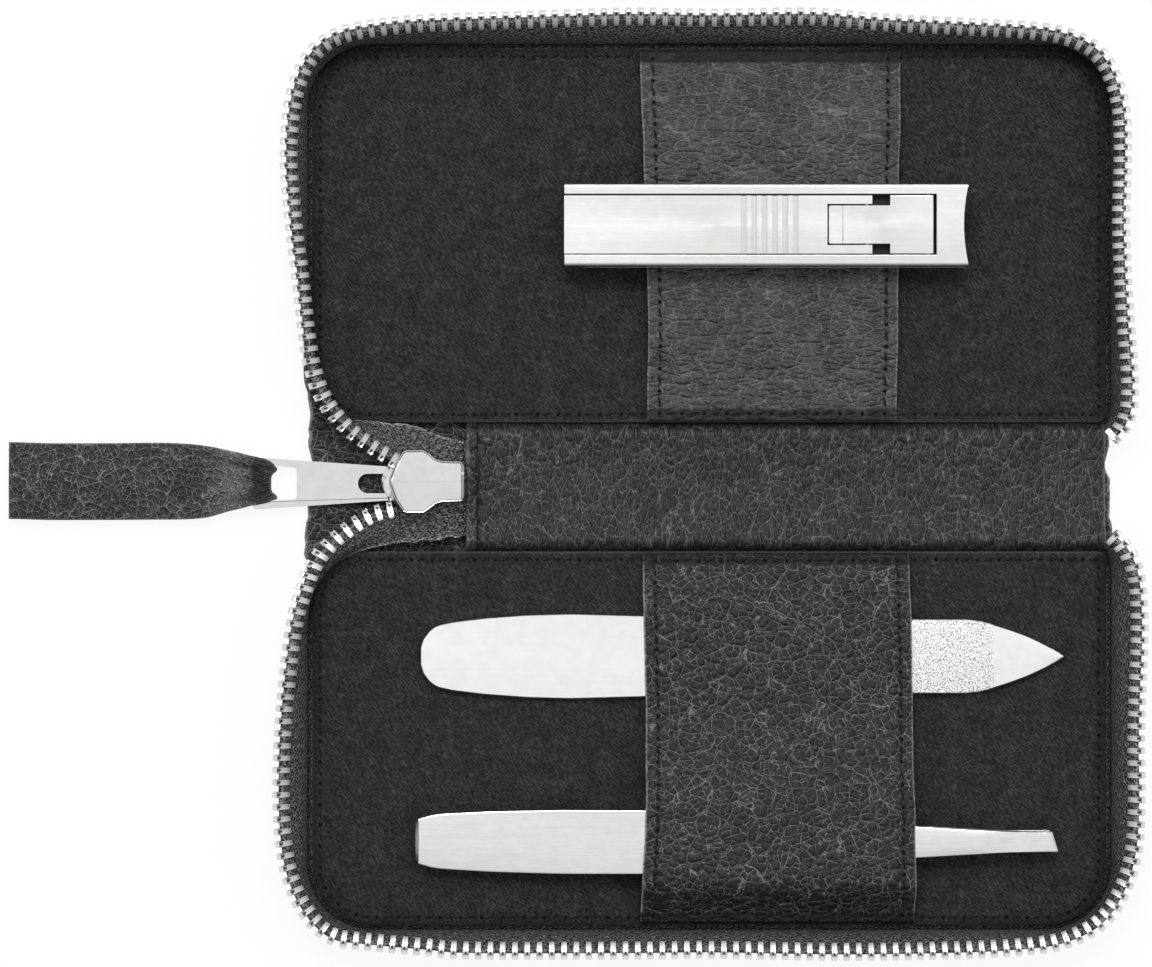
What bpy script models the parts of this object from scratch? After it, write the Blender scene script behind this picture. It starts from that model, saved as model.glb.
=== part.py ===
"""Manicure set case: a leather zip case lying open, with its straps, slider, pull and instruments.

All sizes are in metres. The case lies open on a surface at z = 0, with the spine along X. The lower half
is on the -Y side and the upper half on the +Y side. The origin is the middle of the spine's underside.
"""

import math

import bmesh
import bpy
from mathutils import Matrix, Vector

# Clearances
SEAT_GAP = 0.0003
PIN_GAP = 0.00018
CUT_OVERRUN = 0.002

# Case: plan sizes of the panels and the spine
SPINE_WIDTH = 0.0195
PANEL_LENGTH = 0.1179
PANEL_DEPTH = 0.0553
PANEL_CENTRE_X = -0.00035
PANEL_OUTER_RADIUS = 0.009
PANEL_SPINE_RADIUS = 0.013
PANEL_SMALL_RADIUS = 0.0015

# Case: thickness of each ply
COVER_THICKNESS = 0.0010
BOARD_THICKNESS = 0.0008
LINING_THICKNESS = 0.0006
WALL_THICKNESS = 0.0012

# Rim walls: how far their top edge stands out from their foot
RIM_LEAN_OUTER = 0.0021
UPPER_LEAN_LEFT = 0.0012
UPPER_LEAN_RIGHT = 0.0014
LOWER_LEAN_LEFT = 0.0030
LOWER_LEAN_RIGHT = 0.0026
RIM_TOP_RADIUS = 0.0145
UPPER_RIM_START = 0.0133
LOWER_RIM_START = 0.0113
RIM_RIGHT_END = 0.0010

# Zip
TOOTH_PITCH = 0.0018
TOOTH_RADIUS = 0.00105
TOOTH_NECK_SHARE = 0.5
STOP_LENGTH = 0.0018
MEETING_GAP = 0.0004
STRAND_RIM_HANDLE = 0.0085
STRAND_SLIDER_HANDLE = 0.0080
STRAND_SLOPE_SHARES = {"upper": 0.65, "lower": 0.36}
UPPER_STRAND_SPREAD = 0.0027
LOWER_STRAND_SPREAD = 0.0038
CHAIN_WIDTH = 0.0026
CHAIN_HEIGHT = 0.0022
TAPE_THICKNESS = 0.0006
TAPE_FOOT_LENGTH = 0.0010

# Slider
SLIDER_LENGTH = 0.0109
SLIDER_WIDTH = 0.00925
SLIDER_OFFSET = 0.0008
SLIDER_LEFT_EDGE = 0.0117
SLIDER_PLATE = 0.0007
SLIDER_MOUTH = 0.0030
SLIDER_POST_RADIUS = 0.0007
SLIDER_FRONT_SHARE = 0.9
BRIDGE_HEIGHT = 0.0022
BRIDGE_WIDTH = 0.0018
BRIDGE_WIRE = 0.0006
BRIDGE_LENGTH = 0.0043
SLIDER_OUTLINE_SHARES = (
    (0.0, 0.0),
    (0.14, 0.4),
    (0.25, 0.5),
    (0.47, 0.5),
    (0.64, 0.36),
    (0.75, 0.335),
    (0.97, 0.335),
    (1.0, 0.0),
)

# Pull tab
PULL_THICKNESS = 0.0009
PULL_LENGTH = 0.0241
PULL_WIDE = 0.0078
PULL_NARROW = 0.0045
PULL_OFFSET = 0.0005
PULL_BAR = 0.0010
PULL_SLOT_LENGTH = 0.0074
PULL_SLOT_WIDTH = 0.0029
EYE_BAR = 0.0011
EYE_LENGTH = 0.0055
EYE_WIDE = 0.0056
EYE_NARROW = 0.0046
PULL_PIVOT_FROM_NOSE = 0.0030
PULL_TILT = math.radians(1.6)

# Leather strap on the pull
TAG_LENGTH = 0.0360
TAG_WIDTH = 0.01145
TAG_NECK = 0.0070
TAG_GATHER = 0.0095
TAG_THICKNESS = 0.0024
TAG_LIFT = 0.0001
LOOP_WALL = 0.0011
LOOP_BORE_RADIUS = 0.00095
LOOP_WIDTH = 0.0043

# Holding straps
STRAP_THICKNESS = 0.0009
STRAP_WIDTH = 0.0395
STRAP_CENTRE_SHARE = 0.583
STRAP_ARCH = 0.0013
STRAP_MARGIN = 0.0008
STRAP_LAND = 0.0040
STRAP_INSET = 0.0006
STRAP_SAG_SHARE = 0.4
UPPER_STRAP_EDGE_SHARES = ((-0.48, 0.455), (-0.48, 0.455), (-0.495, 0.46), (-0.51, 0.468))
LOWER_STRAP_EDGE_SHARES = ((-0.5, 0.5), (-0.49, 0.51), (-0.49, 0.51), (-0.51, 0.52))

# Nail file
FILE_LENGTH = 0.0953
FILE_WIDTH = 0.01265
FILE_THICKNESS = 0.0012
FILE_LEFT_SHARE = 0.1365
FILE_PLACE_SHARE = 0.277
FILE_OUTLINE_SHARES = (
    (0.0, 0.12),
    (0.006, 0.25),
    (0.024, 0.369),
    (0.1, 0.45),
    (0.233, 0.5),
    (0.342, 0.478),
    (0.761, 0.436),
    (0.849, 0.436),
    (0.889, 0.375),
    (0.942, 0.241),
    (0.99, 0.06),
    (1.0, 0.02),
)

# Tweezers
TWEEZER_LENGTH = 0.0946
TWEEZER_WIDTH = 0.00944
TWEEZER_THICKNESS = 0.0010
TWEEZER_BOW = 0.0014
TWEEZER_TIP_GAP = 0.0024
TWEEZER_LEFT_SHARE = 0.1314
TWEEZER_PLACE_SHARE = 0.768
TWEEZER_PIVOT = 0.0030
TWEEZER_SLANT = 0.0013
TWEEZER_WIDTH_SHARES = (
    (0.0, 0.318),
    (0.012, 0.39),
    (0.035, 0.431),
    (0.12, 0.475),
    (0.226, 0.5),
    (0.357, 0.498),
    (0.5, 0.44),
    (0.64, 0.335),
    (0.775, 0.244),
    (0.905, 0.173),
    (1.0, 0.158),
)

# Nail clipper
CLIPPER_LENGTH = 0.0592
CLIPPER_WIDTH = 0.0121
CLIPPER_LEFT_SHARE = 0.3174
CLIPPER_PLACE_SHARE = 0.5175
RAIL_WIDTH = 0.0016
LEAF_THICKNESS = 0.0009
LEAF_OPENING = 0.0010
LEAF_BLOCK_LENGTH = 0.0030
FLOOR_THICKNESS = 0.0008
LEVER_THICKNESS = 0.0015
RAIL_STAND = 0.0001
JAW_HOLLOW = 0.0007
SIDE_GAP = 0.0002
ARM_OVERHANG = 0.0007
POCKET_CLEARANCE = 0.00045
PIN_RADIUS = 0.00025
PIN_SEAT_DEPTH = 0.0006
LEVER_PIN_SHARE = 0.7493
LINK_PIN_SHARE = 0.9003
TONGUE_WIDTH = 0.00563
TONGUE_REACH = 0.00566
WINDOW_LENGTH = 0.0026
GROOVE_COUNT = 6
GROOVE_PITCH = 0.00152
GROOVE_WIDTH = 0.00072
GROOVE_DEPTH = 0.00025
GROOVE_START_SHARE = 0.4375

# Finishes: colour, roughness, metallic
LEATHER = ("leather_black", (0.035, 0.035, 0.037), 0.55, 0.0)
SUEDE = ("lining_suede", (0.018, 0.018, 0.02), 0.95, 0.0)
BOARD = ("stiffener_board", (0.25, 0.23, 0.2), 0.9, 0.0)
TAPE = ("zip_tape_black", (0.012, 0.012, 0.013), 0.9, 0.0)
NICKEL = ("nickel_teeth", (0.72, 0.72, 0.72), 0.25, 1.0)
POLISHED = ("polished_nickel", (0.82, 0.82, 0.82), 0.12, 1.0)
STEEL = ("brushed_steel", (0.78, 0.78, 0.77), 0.32, 1.0)

# Mesh fineness
CORNER_STEPS = 7
RIM_STRAIGHT_STEPS = 4
ROUND_SIDES = 16
STRAP_STEPS = 3

# Heights and lines worked out from the sizes above
HINGE_Z = COVER_THICKNESS / 2
FOLD_Y = SPINE_WIDTH / 2
BOARD_Z = COVER_THICKNESS + SEAT_GAP
LINING_Z = BOARD_Z + BOARD_THICKNESS + SEAT_GAP
LINING_TOP = LINING_Z + LINING_THICKNESS
SEAT_Z = LINING_TOP + SEAT_GAP
PANEL_LEFT = PANEL_CENTRE_X - PANEL_LENGTH / 2
PANEL_RIGHT = PANEL_CENTRE_X + PANEL_LENGTH / 2
PANEL_OUTER = FOLD_Y + PANEL_DEPTH
WALL_OFFSET = SEAT_GAP + WALL_THICKNESS / 2
COVER_EDGE = SEAT_GAP + WALL_THICKNESS
RIM_TOP = HINGE_Z + FOLD_Y - MEETING_GAP / 2
TOOTH_Z = RIM_TOP - TOOTH_RADIUS
WALL_TOP = TOOTH_Z - TOOTH_RADIUS - SEAT_GAP
FOLD_REACH = LINING_TOP - HINGE_Z + SEAT_GAP
SLIDER_TAIL_X = PANEL_LEFT + SLIDER_LEFT_EDGE + SLIDER_LENGTH
SLIDER_NOSE_X = SLIDER_TAIL_X - SLIDER_LENGTH
BRIDGE_Z = COVER_THICKNESS + SEAT_GAP
FRONT_PLATE_Z = BRIDGE_Z + BRIDGE_HEIGHT
MOUTH_Z = FRONT_PLATE_Z + SLIDER_PLATE
BACK_PLATE_Z = MOUTH_Z + SLIDER_MOUTH
STRAND_Z = MOUTH_Z + SLIDER_MOUTH / 2
POST_X = SLIDER_NOSE_X + 2.2 * SLIDER_POST_RADIUS
PULL_PIVOT_X = SLIDER_NOSE_X + PULL_PIVOT_FROM_NOSE
PULL_PIVOT_Z = BRIDGE_Z + BRIDGE_WIRE + (BRIDGE_HEIGHT - BRIDGE_WIRE) / 2
EYE_ARM = PULL_LENGTH - PULL_BAR / 2 - EYE_BAR / 2
EYE_X = PULL_PIVOT_X - EYE_ARM * math.cos(PULL_TILT)
EYE_Z = PULL_PIVOT_Z - EYE_ARM * math.sin(PULL_TILT)
SIDES = {"upper": 1.0, "lower": -1.0}
RIM_LEAN_LEFT = {"upper": UPPER_LEAN_LEFT, "lower": LOWER_LEAN_LEFT}
RIM_LEAN_RIGHT = {"upper": UPPER_LEAN_RIGHT, "lower": LOWER_LEAN_RIGHT}
RIM_LEFT_END = {"upper": UPPER_RIM_START, "lower": LOWER_RIM_START}
STRAND_END_SPREAD = {"upper": UPPER_STRAND_SPREAD, "lower": LOWER_STRAND_SPREAD}


def clear_scene():
    for obj in list(bpy.data.objects):
        bpy.data.objects.remove(obj, do_unlink=True)


def make_collection(name):
    collection = bpy.data.collections.new(name)
    bpy.context.scene.collection.children.link(collection)
    return collection


def material_for(finish):
    name, colour, roughness, metallic = finish
    material = bpy.data.materials.get(name)
    if material is None:
        material = bpy.data.materials.new(name)
        material.use_nodes = True
        shader = material.node_tree.nodes["Principled BSDF"]
        shader.inputs["Base Color"].default_value = (*colour, 1.0)
        shader.inputs["Roughness"].default_value = roughness
        shader.inputs["Metallic"].default_value = metallic
    return material


def add_object(name, data, finish):
    """A new object in the part's collection, with its finish."""
    obj = bpy.data.objects.new(name, data)
    PARTS.objects.link(obj)
    data.materials.clear()
    data.materials.append(material_for(finish))
    return obj


def arc_points(corner, before, after, radius):
    """The points of a corner rounded to this radius, from the side of before to the side of after."""
    corner = Vector(corner)
    to_before = (Vector(before) - corner).normalized()
    to_after = (Vector(after) - corner).normalized()
    half_angle = to_before.angle(to_after) / 2
    if radius <= 0 or half_angle > math.radians(89):
        return [corner]
    tangent = radius / math.tan(half_angle)
    centre = corner + (to_before + to_after).normalized() * radius / math.sin(half_angle)
    start = corner + to_before * tangent - centre
    sweep = start.angle_signed(corner + to_after * tangent - centre)
    points = []
    for step in range(CORNER_STEPS + 1):
        points.append(centre + Matrix.Rotation(-sweep * step / CORNER_STEPS, 2) @ start)
    return points


def rounded_outline(corners):
    """A closed outline through (x, y, radius) corners."""
    points = []
    for index, (x, y, radius) in enumerate(corners):
        before = corners[index - 1][:2]
        after = corners[(index + 1) % len(corners)][:2]
        points.extend(arc_points((x, y), before, after, radius))
    return points


def box_outline(x_low, x_high, y_low, y_high):
    return [Vector(p) for p in ((x_low, y_low), (x_high, y_low), (x_high, y_high), (x_low, y_high))]


def mirrored_outline(half_points):
    """A closed outline from its (x, y >= 0) half and that half's mirror image."""
    below = [(x, -y) for x, y in reversed(half_points) if y > 0]
    return [Vector(p) for p in list(half_points) + below]


def plate(name, outlines, bottom, thickness, finish, centre=(0.0, 0.0)):
    """A flat plate: outlines are closed loops of points, the first one outside and the others holes."""
    curve = bpy.data.curves.new(name, "CURVE")
    curve.dimensions = "2D"
    curve.fill_mode = "BOTH"
    curve.extrude = thickness / 2
    for outline in outlines:
        spline = curve.splines.new("POLY")
        spline.points.add(len(outline) - 1)
        for point, place in zip(spline.points, outline):
            point.co = (place[0], place[1], 0.0, 1.0)
        spline.use_cyclic_u = True
    obj = add_object(name, curve, finish)
    obj.location = (centre[0], centre[1], bottom + thickness / 2)
    return obj


def meshed(obj):
    """The same piece as a mesh whose caps are welded, so that Booleans can cut it."""
    bpy.context.view_layer.update()
    evaluated = obj.evaluated_get(bpy.context.evaluated_depsgraph_get())
    mesh = bpy.data.meshes.new_from_object(evaluated)
    work = bmesh.new()
    work.from_mesh(mesh)
    bmesh.ops.remove_doubles(work, verts=work.verts, dist=1e-7)
    bmesh.ops.recalc_face_normals(work, faces=work.faces)
    work.to_mesh(mesh)
    work.free()
    solid = bpy.data.objects.new(obj.name + "_mesh", mesh)
    PARTS.objects.link(solid)
    solid.matrix_world = obj.matrix_world.copy()
    name = obj.name
    bpy.data.objects.remove(obj, do_unlink=True)
    solid.name = name
    return solid


def block(name, low, high, finish=STEEL):
    """A box between two corners, from a unit cube."""
    mesh = bpy.data.meshes.new(name)
    work = bmesh.new()
    bmesh.ops.create_cube(work, size=1.0)
    size = Vector(high) - Vector(low)
    bmesh.ops.scale(work, vec=size, verts=work.verts)
    work.to_mesh(mesh)
    work.free()
    obj = add_object(name, mesh, finish)
    obj.location = (Vector(high) + Vector(low)) / 2
    return obj


def rod(name, centre, radius, length, finish=STEEL, upright=False):
    """A cylinder that lies along Y, or stands along Z."""
    mesh = bpy.data.meshes.new(name)
    work = bmesh.new()
    bmesh.ops.create_cone(
        work, cap_ends=True, segments=ROUND_SIDES, radius1=radius, radius2=radius, depth=length
    )
    if not upright:
        bmesh.ops.rotate(work, matrix=Matrix.Rotation(math.pi / 2, 3, "X"), verts=work.verts)
    work.to_mesh(mesh)
    work.free()
    obj = add_object(name, mesh, finish)
    obj.location = centre
    return obj


def combine(target, other, operation):
    """Cuts the other object out of the target, or joins it on, and hides it as a helper."""
    PARTS.objects.unlink(other)
    CUTTERS.objects.link(other)
    other.hide_render = True
    other.display_type = "WIRE"
    modifier = target.modifiers.new(other.name, "BOOLEAN")
    modifier.operation = operation
    modifier.object = other
    modifier.solver = "EXACT"


def ribbon(name, rows, thickness, finish):
    """A bent sheet: each row is the list of points across it, and Solidify gives it its thickness."""
    mesh = bpy.data.meshes.new(name)
    work = bmesh.new()
    grid = [[work.verts.new(point) for point in row] for row in rows]
    for first, second in zip(grid, grid[1:]):
        for a, b, c, d in zip(first, first[1:], second[1:], second):
            work.faces.new((a, b, c, d))
    bmesh.ops.recalc_face_normals(work, faces=work.faces)
    work.to_mesh(mesh)
    work.free()
    obj = add_object(name, mesh, finish)
    wall = obj.modifiers.new("wall", "SOLIDIFY")
    wall.thickness = thickness
    wall.offset = 0.0
    wall.use_even_offset = True
    return obj


def beaded_wire(name, route, finish):
    """A row of teeth: a thin wire that swells at each tooth, along evenly spaced points."""
    curve = bpy.data.curves.new(name, "CURVE")
    curve.dimensions = "3D"
    curve.bevel_depth = TOOTH_RADIUS
    curve.bevel_resolution = 0
    curve.use_fill_caps = True
    spline = curve.splines.new("POLY")
    spline.points.add(len(route) - 1)
    for index, (point, place) in enumerate(zip(spline.points, route)):
        point.co = (*place, 1.0)
        point.radius = TOOTH_NECK_SHARE if index % 2 else 1.0
    return add_object(name, curve, finish)


def spaced(route, step):
    """Points along a route of straight pieces, a given step apart."""
    lengths = [(b - a).length for a, b in zip(route, route[1:])]
    count = max(2, round(sum(lengths) / step))
    points = []
    for index in range(count + 1):
        left = sum(lengths) * index / count
        for start, end, length in zip(route, route[1:], lengths):
            if left <= length or end is route[-1]:
                points.append(start.lerp(end, min(1.0, left / length)))
                break
            left -= length
    return points


def curve_through(start, first_handle, second_handle, end, count):
    """Points of a Bezier curve with these handles."""
    points = []
    for index in range(count + 1):
        t = index / count
        a, b, c, d = (1 - t) ** 3, 3 * t * (1 - t) ** 2, 3 * t * t * (1 - t), t**3
        points.append(start * a + first_handle * b + second_handle * c + end * d)
    return points


def axis_empty(name, place):
    """An empty on a joint's axis, which carries the pieces that move with it."""
    empty = bpy.data.objects.new(name, None)
    empty.location = place
    empty.empty_display_size = SPINE_WIDTH / 4
    PARTS.objects.link(empty)
    return empty


def carry(parent, *children):
    """Parents the children without moving them."""
    bpy.context.view_layer.update()
    for child in children:
        child.parent = parent
        child.matrix_parent_inverse = parent.matrix_world.inverted()


def lerp_table(table, share):
    """The value of a (share, value) table at a share."""
    for (x0, y0), (x1, y1) in zip(table, table[1:]):
        if share <= x1:
            return y0 + (y1 - y0) * (share - x0) / (x1 - x0)
    return table[-1][1]


def make_cover():
    """The outer leather: one sheet of the real case, divided at its two folds."""
    left, right = PANEL_LEFT - COVER_EDGE, PANEL_RIGHT + COVER_EDGE
    outer = PANEL_OUTER + COVER_EDGE
    groove = HINGE_Z + SEAT_GAP
    corner = PANEL_OUTER_RADIUS + COVER_EDGE
    pieces = {}
    for name, side in SIDES.items():
        inner = FOLD_Y + groove
        outline = rounded_outline(
            (
                (left, side * inner, 0.0),
                (left, side * outer, corner),
                (right, side * outer, corner),
                (right, side * inner, 0.0),
            )
        )
        pieces[name] = plate(f"outer_cover_{name}", [outline], 0.0, COVER_THICKNESS, LEATHER)
    half = FOLD_Y - groove
    outline = box_outline(left, right, -half, half)
    pieces["spine"] = plate("outer_cover_spine", [outline], 0.0, COVER_THICKNESS, LEATHER)
    return pieces


def panel_outline(side, inner, shrink):
    """The outline of one panel ply: its corner at the spine's left end is cut away for the zip."""
    left, right = PANEL_LEFT + shrink, PANEL_RIGHT - shrink
    outer = PANEL_OUTER - shrink
    return rounded_outline(
        (
            (left, side * inner, PANEL_SPINE_RADIUS - shrink),
            (left, side * outer, PANEL_OUTER_RADIUS - shrink),
            (right, side * outer, PANEL_OUTER_RADIUS - shrink),
            (right, side * inner, PANEL_SMALL_RADIUS),
        )
    )


def make_panels():
    """The stiffener board and the suede lining of each half, and the same two plies on the spine."""
    pieces = {}
    plies = (
        ("board", BOARD_Z, BOARD_THICKNESS, BOARD, SEAT_GAP),
        ("lining", LINING_Z, LINING_THICKNESS, SUEDE, 0.0),
    )
    for ply, bottom, thickness, finish, shrink in plies:
        reach = bottom + thickness - HINGE_Z + SEAT_GAP
        for name, side in SIDES.items():
            outline = panel_outline(side, FOLD_Y + reach, shrink)
            pieces[f"{ply}_{name}"] = plate(f"{ply}_{name}", [outline], bottom, thickness, finish)
        half = FOLD_Y - reach
        left = SLIDER_TAIL_X + TAPE_FOOT_LENGTH + 2 * SEAT_GAP
        outline = box_outline(left, PANEL_RIGHT - SEAT_GAP, -half, half)
        label = "spine_backing" if ply == "board" else "spine_lining"
        skin = BOARD if ply == "board" else LEATHER
        pieces[label] = plate(label, [outline], bottom, thickness, skin)
    return pieces


def rim_route(name, lean_share, radius, height):
    """The line of a rim at a height, from its left end round to its right end, with a fixed point count."""
    side = SIDES[name]
    left = PANEL_LEFT - WALL_OFFSET - RIM_LEAN_LEFT[name] * lean_share
    right = PANEL_RIGHT + WALL_OFFSET + RIM_LEAN_RIGHT[name] * lean_share
    outer = PANEL_OUTER + WALL_OFFSET + RIM_LEAN_OUTER * lean_share
    start = FOLD_Y + RIM_LEFT_END[name]
    end = FOLD_Y + RIM_RIGHT_END
    first = arc_points((left, outer), (left, start), (right, outer), radius)
    second = arc_points((right, outer), (left, outer), (right, end), radius)
    stretches = (
        (Vector((left, start)), first[0]),
        first,
        (first[-1], second[0]),
        second,
        (second[-1], Vector((right, end))),
    )
    points = []
    for index, stretch in enumerate(stretches):
        if index % 2:
            points.extend(stretch[1:-1])
            continue
        for step in range(RIM_STRAIGHT_STEPS + 1):
            points.append(stretch[0].lerp(stretch[1], step / RIM_STRAIGHT_STEPS))
    return [Vector((p.x, side * p.y, height)) for p in points]


def make_rims():
    """The tape wall round three sides of each half, its row of teeth and the stop at its end."""
    pieces = {}
    for name in SIDES:
        foot_radius = PANEL_OUTER_RADIUS + WALL_OFFSET
        foot_z = COVER_THICKNESS + SEAT_GAP
        rows = []
        for share in (0.0, 0.5, 1.0):
            lean = share * (WALL_TOP - foot_z) / (TOOTH_Z - foot_z)
            radius = foot_radius + (RIM_TOP_RADIUS - foot_radius) * lean
            rows.append(rim_route(name, lean, radius, foot_z + (WALL_TOP - foot_z) * share))
        pieces[f"zip_tape_{name}"] = ribbon(f"zip_tape_{name}", rows, WALL_THICKNESS, TAPE)
        line = rim_route(name, 1.0, RIM_TOP_RADIUS, TOOTH_Z)
        teeth = spaced(line, TOOTH_PITCH / 2)
        last = round((STOP_LENGTH + SEAT_GAP) / TOOTH_PITCH * 2) + 1
        row = beaded_wire(f"zip_teeth_{name}", teeth[:-last], NICKEL)
        end = line[-1]
        half = Vector((TOOTH_RADIUS, STOP_LENGTH / 2, TOOTH_RADIUS))
        centre = Vector((end.x, end.y + SIDES[name] * STOP_LENGTH / 2, end.z))
        pieces[f"zip_teeth_{name}"] = row
        pieces[f"zip_stop_{name}"] = block(f"zip_stop_{name}", centre - half, centre + half, NICKEL)
    return pieces


def make_strands():
    """The free lengths of chain from the rims to the slider's mouth."""
    pieces = {}
    for name, side in SIDES.items():
        start = rim_route(name, 1.0, RIM_TOP_RADIUS, TOOTH_Z)[0]
        start.y -= side * (SEAT_GAP + TOOTH_RADIUS * TOOTH_NECK_SHARE)
        end_x = POST_X - SLIDER_POST_RADIUS
        end = Vector((end_x, SLIDER_OFFSET + side * STRAND_END_SPREAD[name], STRAND_Z))
        first = start - Vector((0.0, side * STRAND_RIM_HANDLE, 0.0))
        slope = STRAND_SLOPE_SHARES[name]
        second = end + Vector((-1.0, side * slope, 0.0)) * STRAND_SLIDER_HANDLE
        route = curve_through(start, first, second, end, CORNER_STEPS * 6)
        label = f"zip_strand_{name}"
        pieces[label] = beaded_wire(label, spaced(route, TOOTH_PITCH / 2), NICKEL)
    return pieces


def make_tape_end():
    """The closed end of the chain, sewn to the spine: a flat tape, the chain along it and the sewn foot."""
    half = FOLD_Y - FOLD_REACH
    chain_left = POST_X + SLIDER_POST_RADIUS + SEAT_GAP
    foot_left = SLIDER_TAIL_X + SEAT_GAP
    foot_right = foot_left + TAPE_FOOT_LENGTH
    middle = SLIDER_OFFSET
    tape_z = STRAND_Z - TAPE_THICKNESS / 2
    tape = block(
        "zip_tape_end",
        (chain_left, -half, tape_z),
        (foot_right, half, tape_z + TAPE_THICKNESS),
        TAPE,
    )
    chain = block(
        "chain_bar",
        (chain_left + TAPE_THICKNESS, middle - CHAIN_WIDTH / 2, STRAND_Z - CHAIN_HEIGHT / 2),
        (foot_right - TAPE_THICKNESS / 2, middle + CHAIN_WIDTH / 2, STRAND_Z + CHAIN_HEIGHT / 2),
    )
    foot = block(
        "tape_foot",
        (foot_left, TAPE_THICKNESS - half, COVER_THICKNESS + SEAT_GAP),
        (foot_right - TAPE_THICKNESS / 4, half - TAPE_THICKNESS, STRAND_Z),
    )
    combine(tape, chain, "UNION")
    combine(tape, foot, "UNION")
    return tape


def slider_plate(name, bottom, share):
    """One shield-shaped plate of the slider."""
    points = []
    for along, across in SLIDER_OUTLINE_SHARES:
        x = SLIDER_TAIL_X - SLIDER_LENGTH * (1 - along) * share
        points.append((x, across * SLIDER_WIDTH * share))
    outline = mirrored_outline(points)
    return meshed(plate(name, [outline], bottom, SLIDER_PLATE, POLISHED, (0.0, SLIDER_OFFSET)))


def make_slider():
    """The slider: back plate on top, front plate under the chain, the wedge post and the pull's bridge."""
    body = slider_plate("slider_body", BACK_PLATE_Z, 1.0)
    front = slider_plate("front_plate", FRONT_PLATE_Z, SLIDER_FRONT_SHARE)
    overlap = SLIDER_PLATE / 2
    post_length = SLIDER_MOUTH + 2 * overlap
    post_x = POST_X + SLIDER_POST_RADIUS * (1 - SLIDER_FRONT_SHARE)
    post = rod(
        "wedge_post",
        (post_x, SLIDER_OFFSET, STRAND_Z),
        SLIDER_POST_RADIUS,
        post_length,
        upright=True,
    )
    half = BRIDGE_WIDTH / 2
    left = PULL_PIVOT_X - BRIDGE_LENGTH / 2 + BRIDGE_WIRE / 2
    right = left + BRIDGE_LENGTH
    low, high = SLIDER_OFFSET - half, SLIDER_OFFSET + half
    arch = block("bridge", (left, low, BRIDGE_Z), (right, high, FRONT_PLATE_Z + overlap))
    hole = block(
        "bridge_hole",
        (left + BRIDGE_WIRE, low - CUT_OVERRUN, BRIDGE_Z + BRIDGE_WIRE),
        (right - BRIDGE_WIRE, high + CUT_OVERRUN, FRONT_PLATE_Z),
    )
    combine(body, post, "UNION")
    combine(body, front, "UNION")
    combine(arch, hole, "DIFFERENCE")
    combine(body, arch, "UNION")
    return body


def make_pull():
    """The pull tab, hooked under the slider's bridge, and the leather strap looped through its eye."""
    right = PULL_BAR / 2
    left = right - PULL_LENGTH
    eye_left = left + EYE_BAR
    eye_right = eye_left + EYE_LENGTH
    outline = rounded_outline(
        (
            (left, -PULL_WIDE / 2, EYE_BAR / 2),
            (right, -PULL_NARROW / 2, PULL_BAR / 2),
            (right, PULL_NARROW / 2, PULL_BAR / 2),
            (left, PULL_WIDE / 2, EYE_BAR / 2),
        )
    )
    slot_right = right - PULL_BAR
    slot_left = slot_right - PULL_SLOT_LENGTH
    slot_half = PULL_SLOT_WIDTH / 2
    slot = rounded_outline(
        (
            (slot_left, -slot_half, slot_half),
            (slot_right, -slot_half, 0.0),
            (slot_right, slot_half, 0.0),
            (slot_left, slot_half, slot_half),
        )
    )
    wide_half, narrow_half = EYE_WIDE / 2, EYE_NARROW / 2
    corner = EYE_BAR / 2
    eye = rounded_outline(
        (
            (eye_left, -wide_half, 0.0),
            (eye_right, -narrow_half, corner),
            (eye_right, narrow_half, corner),
            (eye_left, wide_half, 0.0),
        )
    )
    tab = plate("pull_tab", [outline, slot, eye], 0.0, PULL_THICKNESS, POLISHED)
    tab.location = (PULL_PIVOT_X, PULL_OFFSET, PULL_PIVOT_Z)
    tab.rotation_euler = (0.0, -PULL_TILT, 0.0)
    return tab


def make_tag():
    """The leather strap on the pull: a long flat end, a gathered neck and a loop round the eye's bar."""
    start = EYE_X - EYE_BAR / 2 - SEAT_GAP
    neck = start - TAG_GATHER
    left = start - TAG_LENGTH
    half, neck_half = TAG_WIDTH / 2, TAG_NECK / 2
    outline = rounded_outline(
        (
            (left, -half, PANEL_SMALL_RADIUS / 3),
            (neck, -half, 0.0),
            (start, -neck_half, 0.0),
            (start, neck_half, 0.0),
            (neck, half, 0.0),
            (left, half, PANEL_SMALL_RADIUS / 3),
        )
    )
    tag = plate("pull_strap", [outline], TAG_LIFT, TAG_THICKNESS, LEATHER, (0.0, PULL_OFFSET))
    tag = meshed(tag)
    axis = (EYE_X, PULL_OFFSET, EYE_Z)
    loop = rod("strap_loop", axis, LOOP_BORE_RADIUS + LOOP_WALL, LOOP_WIDTH)
    bore = rod("strap_bore", axis, LOOP_BORE_RADIUS, TAG_WIDTH + CUT_OVERRUN)
    combine(tag, loop, "UNION")
    combine(tag, bore, "DIFFERENCE")
    return tag


def strap_rows(name, line, edge_shares):
    """The rows of a holding strap, from its (y, z) middle line and its edges, from the spine outwards."""
    side = SIDES[name]
    centre = PANEL_LEFT + PANEL_LENGTH * STRAP_CENTRE_SHARE
    inner, outer = line[0][0], line[-1][0]
    rows = []
    for y, z in line:
        place = (y - inner) / (outer - inner) * (len(edge_shares) - 1)
        index = min(int(place), len(edge_shares) - 2)
        part = place - index
        low = edge_shares[index][0] * (1 - part) + edge_shares[index + 1][0] * part
        high = edge_shares[index][1] * (1 - part) + edge_shares[index + 1][1] * part
        places = [centre + STRAP_WIDTH * share for share in (low, (low + high) / 2, high)]
        rows.append([(x, side * y, z) for x in places])
    return rows


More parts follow.
